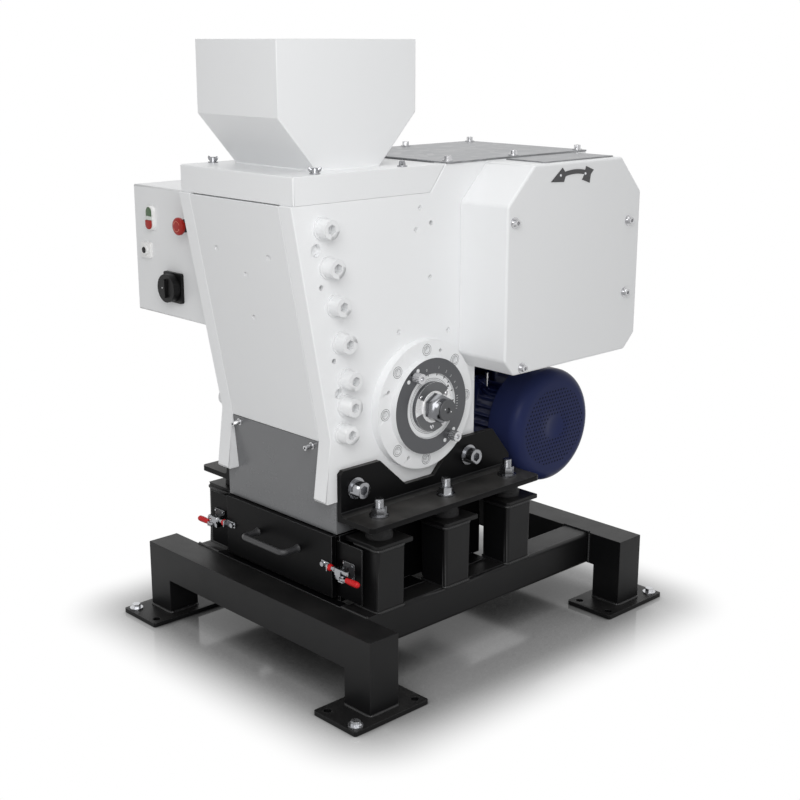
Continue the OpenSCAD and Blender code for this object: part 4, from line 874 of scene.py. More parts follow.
@dataclass
class BaseFrame:
    """Welded tube frame: rounded tubes, weld beads, anchor bolts and rubber mounts."""

    beam_l: float = 800.0
    tube: float = 80.0
    frame_d: float = 908.0
    beam_top: float = 175.0
    rail_out: float = 303.0
    rail_z: tuple[float, float] = (97.0, 173.0)
    foot_t: float = 10.0
    post_y: tuple[float, ...] = (-342.0, -137.5, 67.0)
    cap_under: float = 316.0
    corner_r: float = 9.0
    plate_share: float = 0.16
    bead_r: tuple[float, float, float] = (4.2, 3.6, 3.4)

    def tube_mask(self, mid: Array, way: Array, length: Array) -> Array:
        """Full rounding on the outer long tube edges, a small one on plates.

        Args:
            mid: Middles of the edges in millimetres, one row each.
            way: Unit directions of the edges; not used.
            length: Lengths of the edges in millimetres.

        Returns:
            The share of the rounding for each edge, 0 to 1.
        """
        x, y = np.abs(mid[:, 0]), np.abs(mid[:, 1])
        outer = near(y, self.frame_d / 2) | near(y, self.frame_d / 2 - self.tube) | near(x, self.beam_l / 2)
        above, long = mid[:, 2] - self.foot_t, length > 60
        plates = np.where((above <= 0.5) & long, self.plate_share, 0.0)
        return np.where((above > 1) & long & outer, 1.0, plates)

    def rail_mask(self, mid: Array, way: Array, length: Array) -> Array:
        """Full rounding on the rails and posts, a small one on the cap plates.

        Args:
            mid: Middles of the edges in millimetres, one row each.
            way: Unit directions of the edges; not used.
            length: Lengths of the edges in millimetres.

        Returns:
            The share of the rounding for each edge, 0 to 1.
        """
        x, cap = np.abs(mid[:, 0]), mid[:, 2] > self.cap_under - 1
        wall = near(x, self.rail_out) | near(x, self.rail_out - self.tube)
        return np.where(cap & (length > 40), self.plate_share,
                        np.where(wall & (length > 60) & ~cap, 1.0, 0.0))

    def bead(self, corners: Sequence[Vec], r: float, normal: Vec, closed: bool = False) -> Obj:
        """Weld bead along straight runs: a circle whose radius ripples with the way along it.

        Args:
            corners: Corners of the runs.
            r: Mean radius.
            normal: Direction that the circles keep to.
            closed: True where the bead goes all the way round.

        Returns:
            The new object.
        """
        step = 2.0
        path = resample(np.asarray(corners, float), step, closed)
        s = np.arange(len(path)) * step
        radius = r * (1 + 0.13 * np.sin(2 * np.pi * s / 6.5) + 0.06 * np.sin(2 * np.pi * s / 37 + 1))
        return sweep("bead", path, radius, normal, 10, closed)

    def weld_beads(self) -> list[Obj]:
        """Beads round the legs, the posts and the caps, one piece for each side of the frame.

        Returns:
            The joined beads.
        """
        made: dict[str, list[Obj]] = {"welds_front": [], "welds_rear": [], "welds_rails": []}
        h, (leg_r, rail_r, post_r), (low, high) = self.tube / 2, self.bead_r, self.rail_z
        top = self.beam_top + 0.2
        for sy, key in ((-1, "welds_front"), (1, "welds_rear")):
            cy, y = sy * (self.frame_d / 2 - h), sy * (self.frame_d / 2 - self.tube)
            for sx in (-1, 1):
                foot = (sx * (self.beam_l / 2 - h), cy, self.foot_t + 0.5)
                x0, x1 = sx * (self.rail_out - self.tube), sx * self.rail_out
                made[key] += [self.bead(level_loop(self.tube + 1, self.tube + 1, 9, foot), leg_r, Z, True),
                              self.bead([[x0, y, top], [x1, y, top]], rail_r, Z)]
                made[key] += [self.bead([[x, y, low], [x, y, high]], rail_r, X) for x in (x0, x1)]
        ends = [(sx * (self.rail_out - h), y + h, z) for sx in (-1, 1) for y in self.post_y
                for z in (self.beam_top + 0.5, self.cap_under - 0.5)]
        made["welds_rails"] = [self.bead(level_loop(self.tube, self.tube, 9, at), post_r, Z, True)
                               for at in ends]
        return [joined(name, parts) for name, parts in made.items()]

    def build(self, looks: Wardrobe) -> None:
        """Makes and dresses the frame.

        Args:
            looks: Wardrobe that holds the finishes.
        """
        looks.rounded("black_frame_coat", self.corner_r, self.tube_mask, "front_trestle", "rear_trestle",
                      segments=4)
        looks.rounded("black_frame_coat", self.corner_r, self.rail_mask, "side_rail_left", "side_rail_right",
                      segments=4)
        for obj in self.weld_beads():
            looks.fit(obj, "base", "black_weld")
        looks.clean("zinc_steel", "anchor_bolts")
        looks.clean("mount_rubber", "rubber_mounts")


@dataclass
class Brackets:
    """Angle brackets with their fillets, cap screws and threaded studs."""

    inner_x: float = 192.3
    plate_t: float = 12.0
    seat: float = 360.0
    run: tuple[float, float] = (-357.0, 176.0)
    fillet_r: float = 11.0
    stud_x: float = 251.5
    stud_r: float = 10.2
    stud_y: tuple[float, ...] = (-290.5, -86.0, 118.5)
    thread_z: tuple[float, float] = (393.0, 411.4)
    pitch: float = 2.0

    def fillet(self, side: int) -> Obj:
        """Hollow fillet in the angle's corner: an arc carried along Y.

        Args:
            side: 1 for the right side, -1 for the left one.

        Returns:
            The new object.
        """
        r, x0, z0 = self.fillet_r, self.inner_x + self.plate_t, self.seat + self.plate_t
        t = np.linspace(np.pi, 1.5 * np.pi, 9)
        arc = np.stack([x0 + r + r * np.cos(t), z0 + r + r * np.sin(t)], 1)
        x, z = np.vstack([arc, [[x0 - 1, z0 - 1]]]).T
        points = np.stack([np.stack([side * x, np.full(len(x), y), z], -1) for y in self.run])
        return rings(f"bracket_fillet_{hand(side)}", points, crisp=30)

    def thread(self, x: float, y: float) -> Obj:
        """Screw thread: the radius follows a triangle wave of z / pitch - t / 2 pi.

        Args:
            x: Place of the stud's axis in X.
            y: Its place in Y.

        Returns:
            The new object.
        """
        z0, z1 = self.thread_z
        z = np.linspace(z0, z1, int((z1 - z0) / self.pitch * 5) + 1)[:, None]
        t = np.linspace(0, 2 * np.pi, 24, endpoint=False)[None, :]
        phase = (z / self.pitch - t / (2 * np.pi)) % 1.0
        fade = np.clip((z1 - z) / 1.5, 0, 1)
        rad = self.stud_r - 0.9 + (0.6 + 0.6 * (1 - np.abs(2 * phase - 1))) * fade
        points = np.stack([x + rad * np.cos(t), y + rad * np.sin(t), np.broadcast_to(z, rad.shape)], -1)
        return rings("thread", points, crisp=80)

    def build(self, looks: Wardrobe) -> None:
        """Makes and dresses the brackets.

        Args:
            looks: Wardrobe that holds the finishes.
        """
        looks.rounded("bracket_coat", 2.6, longer(9), "bracket_left", "bracket_right")
        for side in (-1, 1):
            looks.fit(self.fillet(side), "base", "bracket_coat")
        studs = [self.thread(s * self.stud_x, y) for s in (-1, 1) for y in self.stud_y]
        looks.fit(joined("stud_threads", studs), "base", "fastener_steel")
        looks.clean("fastener_steel", "bracket_fasteners")


@dataclass
class CrusherBody:
    """Side plates, front plate, chute, housing, top plates, jaws and their screws."""

    out_x: float = 192.0
    plugs: tuple[tuple[float, float], ...] = ((-114, 1013), (-126, 967), (-176, 750), (-24, 732), (-82, 859))
    plug_r: float = 5.3
    plug_depth: float = 3.2
    recesses: tuple[tuple[float, float, float], ...] = ((-406.2, 951.0, 13.3), (-350.3, 643.0, 10.3))
    recess_depth: float = 12.0

    def plug(self, side: int, y: float, z: float) -> Obj:
        """Set screw in a hole: a turned ring with a rounded lip and a sunk middle.

        Args:
            side: 1 for the right side, -1 for the left one.
            y: Place of the hole in Y.
            z: Its place in Z.

        Returns:
            The new object.
        """
        r = self.plug_r
        return lathe("plug", [(r, -8), (r, 0.4), (r - 0.6, 1.0), (r - 1.7, 1.2), (2.9, 1.0), (2.6, -3)],
                     (side * (self.out_x - self.plug_depth), y, z), (side, 0, 0), 28)

    def recess(self, side: int, y: float, z: float, r: float) -> Obj:
        """Painted plug sunk into one of the two big holes of a side plate, with a dished face."""
        return lathe("recess", [(r, -9), (r, -0.8), (r - 0.8, 0), (r * 0.6, -0.3), (1, -0.5)],
                     (side * (self.out_x - self.recess_depth), y, z), (side, 0, 0), 36)

    def build(self, looks: Wardrobe) -> None:
        """Makes and dresses the crusher body.

        Args:
            looks: Wardrobe that holds the finishes.
        """
        looks.rounded("white_paint_painted_side_light", 2.4, longer(20), "cheek_left", "cheek_right")
        looks.rounded("white_body_paint", 1.8, longer(20), "front_plate", crisp=0)
        looks.clean("white_body_paint", "cheek_screws")
        looks.rounded("white_body_paint", 2.0, longer(20), "rear_housing")
        looks.clean("white_paint_painted_side_light", "bearing_flanges")
        looks.rounded("grey_chute_paint", 0.9, longer(20), "chute")
        looks.clean("bright_steel", "cover_screws")
        looks.rounded("galvanised_sheet", 0.8, longer(20), "top_plates", segments=2)
        screws = [self.plug(s, *spot) for s in (-1, 1) for spot in self.plugs]
        screws += [self.recess(s, *spot) for s in (-1, 1) for spot in self.recesses]
        looks.fit(joined("side_plate_plugs", screws), "base", "white_paint_painted_side_light")
        looks.nodes("jaw_steel", "fixed_jaw_plate", "side_liners", "moving_jaw_plate")
        looks.clean("cast_iron", "swing_jaw")


@dataclass
class Feed:
    """Hopper, hood and the four wing screws."""

    body_top: float = 1102.0
    hood_x: float = 192.0
    hood_y: float = -463.5
    hood_z: float = 1046.0
    hopper_x: float = 135.0
    rim_over_top: float = 255.0
    throat: tuple[float, float, float] = (270.0, -355.3, -179.3)
    wings: tuple[tuple[str, float, float, float], ...] = (
        ("front_left", -172.0, -390.0, 15.0), ("front_right", 172.0, -390.0, 55.0),
        ("rear_left", -172.0, -148.0, 95.0), ("rear_right", 172.0, -148.0, 135.0))

    def hood_mask(self, mid: Array, way: Array, length: Array) -> Array:
        """Full rounding on the hood's outer edges only.

        Args:
            mid: Middles of the edges in millimetres, one row each.
            way: Unit directions of the edges; not used.
            length: Lengths of the edges in millimetres.

        Returns:
            The share of the rounding for each edge, 0 to 1.
        """
        outer = (near(np.abs(mid[:, 0]), self.hood_x, 0.6) | near(mid[:, 2], self.body_top, 0.6)
                 | near(mid[:, 1], self.hood_y, 0.6))
        return (outer & (length > 30) & (mid[:, 2] > self.hood_z)).astype(float)

    def hopper_mask(self, mid: Array, way: Array, length: Array) -> Array:
        """Rounding on the hopper's outer folds, a small one on its rim.

        Args:
            mid: Middles of the edges in millimetres, one row each.
            way: Unit directions of the edges; not used.
            length: Lengths of the edges in millimetres.

        Returns:
            The share of the rounding for each edge, 0 to 1.
        """
        rim = mid[:, 2] > self.body_top + self.rim_over_top
        outer = near(np.abs(mid[:, 0]), self.hopper_x, 0.6)
        return np.where(rim, 0.3, np.where(outer & (length > 60), 1.0, 0.0))

    def seam(self) -> Obj:
        """Smooth sealing bead round the foot of the hopper, a circle along a rounded rectangle.

        Returns:
            The new object.
        """
        w, y0, y1 = self.throat
        path = resample(level_loop(w, y1 - y0, 3, (0, (y0 + y1) / 2, self.body_top + 0.4)), 4.0, True)
        return sweep("hopper_sealing_bead", path, 3.0, Z, 12, True)

    def wing_screw(self, key: str, x: float, y: float, turn: float) -> Obj:
        """Wing screw: a turned hub, two swept wings and the shank down into the side plate.

        A wing's section is an ellipse that widens from the hub and thins towards its tip:
        half height 3 + 2.4 sin(pi s), half thickness 2.2 - 0.9 s, along a line that climbs 5 mm.

        Args:
            key: Which of the four.
            x: Place of its axis in X.
            y: Place of its axis in Y.
            turn: Angle of its wings in degrees.

        Returns:
            The joined piece.
        """
        top = self.body_top + 0.1
        parts = [lathe("hub", [(6, -78), (6, 0), (11, 0), (11, 1.6), (10.4, 2.2), (7.4, 2.2), (7, 7),
                               (6.2, 10.6), (5.4, 12.2), (2, 12.6)], (x, y, top), Z, 32)]
        s = np.linspace(0, 1, 13)[:, None]
        t = np.linspace(0, 2 * np.pi, 18, endpoint=False)[None, :]
        end = np.sqrt(np.clip(1 - np.clip((s - 0.8) / 0.2, 0, 1) ** 2, 0.02, 1))
        reach = 4 + 10 * s + 0 * t
        high = 6 + 5 * s + (3 + 2.4 * np.sin(np.pi * s)) * end * np.cos(t)
        thick = (2.2 - 0.9 * s) * end * np.sin(t)
        for a in (math.radians(turn), math.radians(turn) + math.pi):
            u, v = math.cos(a), math.sin(a)
            points = np.stack([x + reach * u - thick * v, y + reach * v + thick * u, top + high], -1)
            parts.append(rings("wing", points, crisp=70))
        return joined(f"wing_screw_{key}_made", parts)

    def build(self, looks: Wardrobe) -> None:
        """Makes and dresses the feed unit.

        Args:
            looks: Wardrobe that holds the finishes.
        """
        looks.rounded("white_cover_paint", 2.2, self.hopper_mask, "hopper")
        looks.rounded("white_cover_paint", 3.4, self.hood_mask, "hood")
        looks.fit(self.seam(), "feed_unit", "white_cover_paint")
        for key, x, y, turn in self.wings:
            looks.fit(self.wing_screw(key, x, y, turn), "wing_" + key, "fastener_steel", "wing_screw_" + key)


@dataclass
class Drive:
    """Flywheel cover with its arrow, belt guard, belts, flywheels, motor and console."""

    cover_x: float = 333.0
    arrow_mid: tuple[float, float] = (232.0, 905.0)
    arrow_r: tuple[float, float] = (178.0, 168.0)
    rivet_at: tuple[tuple[float, float], ...] = ((181.5, 1072.5), (267.5, 1071.0))
    bolt_at: tuple[float, float, float] = (82.0, 229.0, 543.0)

    def cover_mask(self, mid: Array, way: Array, length: Array) -> Array:
        """Rounding on the outer folds of the two covers."""
        face = near(np.abs(mid[:, 0]), self.cover_x) & (length > 30)
        return (face | (way[:, 0] > 0.9) & (length > 138)).astype(float)

    def arrow(self) -> Obj:
        """Rotation arrow: an arc of radius 173 mm and 10 mm wide, a barbed head and a notched tail.

        Returns:
            The new object.
        """
        t = np.radians(np.linspace(101.5, 78.5, 13))
        outer, inner = (self.arrow_mid + r * np.stack([np.cos(t), np.sin(t)], 1) for r in self.arrow_r)
        head = [[193.0, 1057.5], [149.5, 1060.0], [188.0, 1089.0]]
        tail = [[270.5, 1087.5], [297.0, 1078.0], [287.0, 1068.5], [284.0, 1049.5], [257.0, 1058.5]]
        outline = np.vstack([outer, tail, inner[::-1], head])
        return plate("rotation_arrow", outline, 0.05, 1.3, (self.cover_x, 0, 0), Y, Z)

    def rivets(self) -> Obj:
        """Two domed rivets that hold the arrow.

        Returns:
            The new object.
        """
        return joined("arrow_rivets", [
            lathe("rivet", [(3.2, 0), (3.1, 0.8), (2.4, 1.6), (1.2, 2.0)], (self.cover_x + 1.0, y, z), X, 20)
            for y, z in self.rivet_at])

    def cowl(self) -> Obj:
        """Spun fan cowl: straight wall, quarter-round shoulder and a nearly flat face.

        Returns:
            The new object.
        """
        t = np.linspace(0, np.pi / 2, 13)
        r, thin, face = COWL.shoulder_r, COWL.shoulder_r - COWL.sheet, COWL.face_x
        outer, inner = (list(zip(COWL.flat_r + k * np.cos(t), COWL.shoulder_x + k * np.sin(t)))
                        for k in (r, thin))
        profile = [(1, face - 3), (60, face - COWL.sheet), *inner[::-1], (COWL.flat_r + thin, COWL.open_x),
                   (COWL.flat_r + r, COWL.open_x), *outer, (60, face), (26, face), (23, face - 1.4),
                   (1, face - 1.6)]
        return lathe("fan_cowl", profile, (0, COWL.y, COWL.z), X, 96, 30)

    def build(self, looks: Wardrobe) -> None:
        """Makes and dresses the drive side.

        Args:
            looks: Wardrobe that holds the finishes.
        """
        looks.rounded("white_cover_paint", 6.0, self.cover_mask, "flywheel_cover", segments=4)
        looks.rounded("white_cover_paint", 5.0, self.cover_mask, "belt_guard", segments=4)
        looks.fit(self.arrow(), "base", "arrow_lacquer")
        looks.fit(self.rivets(), "base", "zinc_steel")
        looks.rounded("black_frame_coat", 1.5, longer(20), "motor_console")
        looks.clean("navy_motor_paint", "motor_body", crisp=40)
        looks.fit(self.cowl(), "base", "navy_cowl_paint", "motor_cowl")
        bolt = lathe("motor_bolt", [(3.4, -6), (3.4, 15), (5.6, 15), (5.6, 17), (4.2, 17), (4.2, 27),
                                    (3.4, 28), (1, 28)], self.bolt_at, Z, 24)
        looks.fit(bolt, "base", "bright_steel")
        looks.nodes("belt_rubber", "drive_belts")
        looks.nodes("cast_iron", "flywheels")
        looks.nodes("turned_steel", "drive_shaft", "motor_rotor")


@dataclass
class GapSetting:
    """Flange dressing, scale ring with its marks, the spindle's face and the clamp screws."""

    y: float = -112.0
    z: float = 579.0
    flange_x: float = 214.0
    screw_r: float = 125.0
    ring_x: float = 230.0
    boss_x: float = 226.0
    disc_x: float = 236.0
    end_x: float = 281.0
    ring_r: tuple[float, float] = (74.2, 108.6)
    clamp_angle: float = 126.5
    bores: tuple[float, ...] = (70.0, 157.0, 244.0)
    numerals: tuple[tuple[float, float], ...] = (
        (101, 85.5), (75.5, 87), (58, 84.5), (45, 83.5), (31, 84), (20, 83))
    teeth: tuple[float, ...] = (96, 74, 54, 39, 19.5, 0)
    disc_screws: tuple[tuple[float, float], ...] = ((47.0, 145.5), (45.5, 32.5), (45.0, -98.0))

    def polar(self, x: float, r: float, angle: float) -> tuple[float, float, float]:
        """Point on a face that looks to +X, from its radius and angle about the spindle."""
        a = math.radians(angle)
        return (x, self.y + r * math.cos(a), self.z + r * math.sin(a))

    def spokes(self, angle: float) -> tuple[Array, Array]:
        """Directions along a radius and across it, on a face that looks to +X."""
        c, s = math.cos(math.radians(angle)), math.sin(math.radians(angle))
        return np.array([0, c, s]), np.array([0, s, -c])

    def sector(self, name: str, x: float, a0: float, a1: float) -> Obj:
        """Annular sector on the disc: both arcs are r * (cos a, sin a) with a between two angles.

        Args:
            name: Object name.
            x: Place of its back in X.
            a0: First angle in degrees.
            a1: Last angle.

        Returns:
            The new object.
        """
        a = np.radians(np.linspace(a0, a1, int((a1 - a0) / 4)))
        arc = np.stack([np.cos(a), np.sin(a)], 1)
        outline = np.vstack([55.4 * arc, 36.0 * arc[::-1]])
        return plate(name, outline, 0.0, 1.2, (x, self.y, self.z), Y, Z, 0.4)

    def annulus(self, name: str, x: float, r0: float, r1: float, t: float, axis: int = 1,
                at: Vec | None = None) -> Obj:
        """Flat ring turned from a closed profile.

        Args:
            name: Object name.
            x: Place of its back in X, round the spindle.
            r0: Inner radius.
            r1: Outer radius.
            t: Thickness.
            axis: Sign of X that it faces.
            at: Another middle, if not the spindle's.

        Returns:
            The ring.
        """
        return lathe(name, [(r0, 0), (r1, 0), (r1, t), (r0, t)], at or (x, self.y, self.z), (axis, 0, 0),
                     96 if r1 > 30 else 32, 30, True)

    def flange_rims(self) -> tuple[list[Obj], list[Obj]]:
        """Wide seats round the eight sunk cap screws of each flange, and thin dark rings that paint the shade
        of their grooves.

        Returns:
            The seats and the rings of painted groove shade.
        """
        seats, grooves = [], []
        for side in (-1, 1):
            for k in range(8):
                at = self.polar(side * (self.flange_x + 0.02), self.screw_r, 45.0 * k)
                seats.append(self.annulus("seat", 0, 9.4, 12.2, 0.35, side, at))
                # Thin dark rings: painted shade of the grooves round each seat.
                grooves += [self.annulus("groove", 0, r0, r1, 0.08, side, at)
                            for r0, r1 in ((12.2, 13.3), (8.5, 9.4))]
        return seats, grooves

    def mark(self, x: float, r0: float, r1: float, angle: float, w: float, tip: float | None = None) -> Obj:
        """One line along a radius, on a face that looks to +X; its inner end may be narrower.

        Args:
            x: Place of its back in X.
            r0: Inner radius.
            r1: Outer radius.
            angle: Angle about the spindle in degrees.
            w: Width at the outer end.
            tip: Width at the inner end, if another one.

        Returns:
            The new object.
        """
        out, side = self.spokes(angle)
        v = w if tip is None else tip
        outline = np.array([[-v / 2, r0], [v / 2, r0], [w / 2, r1], [-w / 2, r1]])
        return plate("mark", outline, 0.02, 0.25, (x, self.y, self.z), side, out)

    def numeral(self, text: str, angle: float, r: float) -> Obj:
        """A plain number of the scale, as flat mesh, upright along its radius.

        Args:
            text: The number.
            angle: Angle about the spindle in degrees.
            r: Radius of its middle.

        Returns:
            The new object.
        """
        name = "numeral_" + text
        curve = bpy.data.curves.new(name, "FONT")
        curve.body, curve.size, curve.align_x, curve.align_y = text, 8.5, "CENTER", "CENTER"
        curve.extrude = 0.12
        source = placed(name + "_curve", curve)
        bpy.context.view_layer.update()
        mesh = bpy.data.meshes.new_from_object(source)
        bpy.data.objects.remove(source)
        co = pulled(mesh.vertices, "co", 3)
        out, side = self.spokes(angle)
        place = (np.array([self.ring_x + 0.4, self.y, self.z]) + co[:, :1] * side
                 + (co[:, 1:2] + r) * out + co[:, 2:] * X)
        mesh.vertices.foreach_set("co", (place * MM).ravel())
        return placed(name, mesh)

    def slotted(self, name: str, x: float, r: float, angle: float) -> list[Obj]:
        """Slotted screw head: a turned dome, and a dark bar on it that paints the shade of its slot.

        Args:
            name: Object name of the head.
            x: Place of its back in X.
            r: Radius of its middle about the spindle.
            angle: Angle about the spindle in degrees.

        Returns:
            The head and its slot.
        """
        at = self.polar(x, r, angle)
        head = lathe(name, [(5.4, 0), (5.4, 1.8), (4.8, 2.6), (3, 3.0), (0.5, 3.1)], at, X, 28)
        along, across = self.spokes(angle + 35)
        bar = np.array([[-4.9, -0.7], [4.9, -0.7], [4.9, 0.7], [-4.9, 0.7]])
        return [head, plate(name + "_slot", bar, 2.7, 3.25, at, along, -across)]

    def marks(self, looks: Wardrobe) -> None:
        """Dark wedges that paint the shade of the boss's notches, painted groove shade on the boss, and
        lines, dots and numbers on the ring.

        Args:
            looks: Wardrobe that holds the finishes.
        """
        x = self.ring_x + 0.26
        lines = [self.mark(x, 78.6, 83.6, 7.0 - 4.2 * i, 1.2) for i in range(6)]
        looks.fit(joined("scale_lines", lines), "base", "scale_grey")
        for i, (angle, r) in enumerate(self.numerals):
            looks.fit(self.numeral(str(i), angle, r), "base", "scale_grey")
        dots = [lathe("dot", [(4.7, 0), (4.7, 0.3), (3.9, 0.7), (1, 0.8)],
                      self.polar(x, 97.0, self.clamp_angle + 180 * k + 10.2 * s), X, 24)
                for k in (0, 1) for s in (-1, 1)]
        looks.fit(joined("ring_dots", dots), "base", "scale_white")
        # Dark wedges at the boss's rim: painted shade of its notches.
        teeth = [self.mark(self.boss_x, 68.4, 74.4, a, 4.2, 1.6) for a in self.teeth]
        teeth.append(self.mark(self.boss_x, 60.0, 68.0, 33, 6.5, 0.3))
        looks.fit(joined("boss_notch_shade", teeth), "base", "notch_shade_black")
        # Thin dark rings on the boss: painted shade of its grooves.
        lines = [self.annulus("line", self.boss_x + 0.02, r0, r1, 0.08)
                 for r0, r1 in ((61.8, 62.7), (58.6, 59.2))]
        looks.fit(joined("boss_groove_shade", lines), "base", "groove_shade")

    def dress_flanges(self, looks: Wardrobe) -> None:
        """Seats, painted groove shade and dark discs of painted bore shade of the flanges, and the set screw
        on the right one's rim.

        Args:
            looks: Wardrobe that holds the finishes.
        """
        seats, grooves = self.flange_rims()
        looks.fit(joined("flange_seats", seats), "base", "white_paint_painted_side_light")
        looks.fit(joined("flange_groove_shade", grooves), "base", "groove_shade")
        # Dark discs deep in the three bores of each flange: painted shade of the holes.
        bores = [lathe("bore", [(3.9, 0), (3.9, 1.2), (1, 1.2)],
                       self.polar(s * (self.flange_x - 7.6), self.screw_r, a), (s, 0, 0), 24)
                 for s in (-1, 1) for a in self.bores]
        looks.fit(joined("flange_bores", bores), "base", "painted_hole_shade")
        out, _ = self.spokes(110)
        profile = [(5.2, -2), (5.2, 2.6), (4.6, 3.2), (2.8, 3.2), (2.6, 1.4), (0.5, 1.4)]
        cap = lathe("flange_set_screw", profile, self.polar(207.0, 141.5, 110.0), out, 24)
        looks.fit(cap, "base", "bright_steel")

    def dress_spindle(self, looks: Wardrobe) -> None:
        """Face, arcs, hub and slotted screws of the disc, and the cap of the spindle's end.

        Args:
            looks: Wardrobe that holds the finishes.
        """
        x = self.disc_x
        # The disc's face and hub are near-white steel: painted bright reflection on the steel.
        looks.fit(self.annulus("spindle_face", x + 0.02, 28.0, 55.6, 0.25), "spindle", "steel_painted_bright_reflection")
        for name, a0, a1 in (("arc_upper", 38, 150), ("arc_lower", 196, 300)):
            looks.fit(self.sector(name, x + 0.27, a0, a1), "spindle", "arc_steel")
        looks.fit(self.annulus("spindle_hub", x + 0.27, 28.5, 34.2, 3.0), "spindle", "steel_painted_bright_reflection")
        for i, (r, angle) in enumerate(self.disc_screws):
            head, slot = self.slotted(f"spindle_screw_{i}", x + 0.2, r, angle)
            looks.fit(head, "spindle", "bright_steel")
            # The slot bar is dark: painted shade of the slot.
            looks.fit(slot, "spindle", "painted_hole_shade")
        cap = lathe("spindle_end_cap", [(24.4, -4.5), (24.4, -0.6), (23.6, 0.4), (22, 0.5), (6.4, 0.5),
                                        (6.2, -3), (1, -3)], (self.end_x, self.y, self.z), X, 64)
        looks.fit(cap, "spindle", "dark_steel")
        eyes = [lathe("eye", [(1.5, 0.4), (1.5, 0.9), (0.6, 1.1)], self.polar(self.end_x, r, a), X, 16)
                for r, a in ((10.2, 156), (10.0, -24))]
        looks.fit(joined("spindle_eyes", eyes), "spindle", "scale_white")

    def build(self, looks: Wardrobe) -> None:
        """Makes and dresses the gap setting.

        Args:
            looks: Wardrobe that holds the finishes.
        """
        looks.clean("white_body_paint", "dial_ring")
        face = self.annulus("scale_face", self.ring_x + 0.02, *self.ring_r, 0.24)
        looks.fit(face, "base", "dial_anodised")
        self.dress_flanges(looks)
        self.marks(looks)
        looks.clean("cap_steel", "gap_spindle")
        self.dress_spindle(looks)
        looks.clean("bright_steel", "dial_clamp_upper", "dial_clamp_lower")


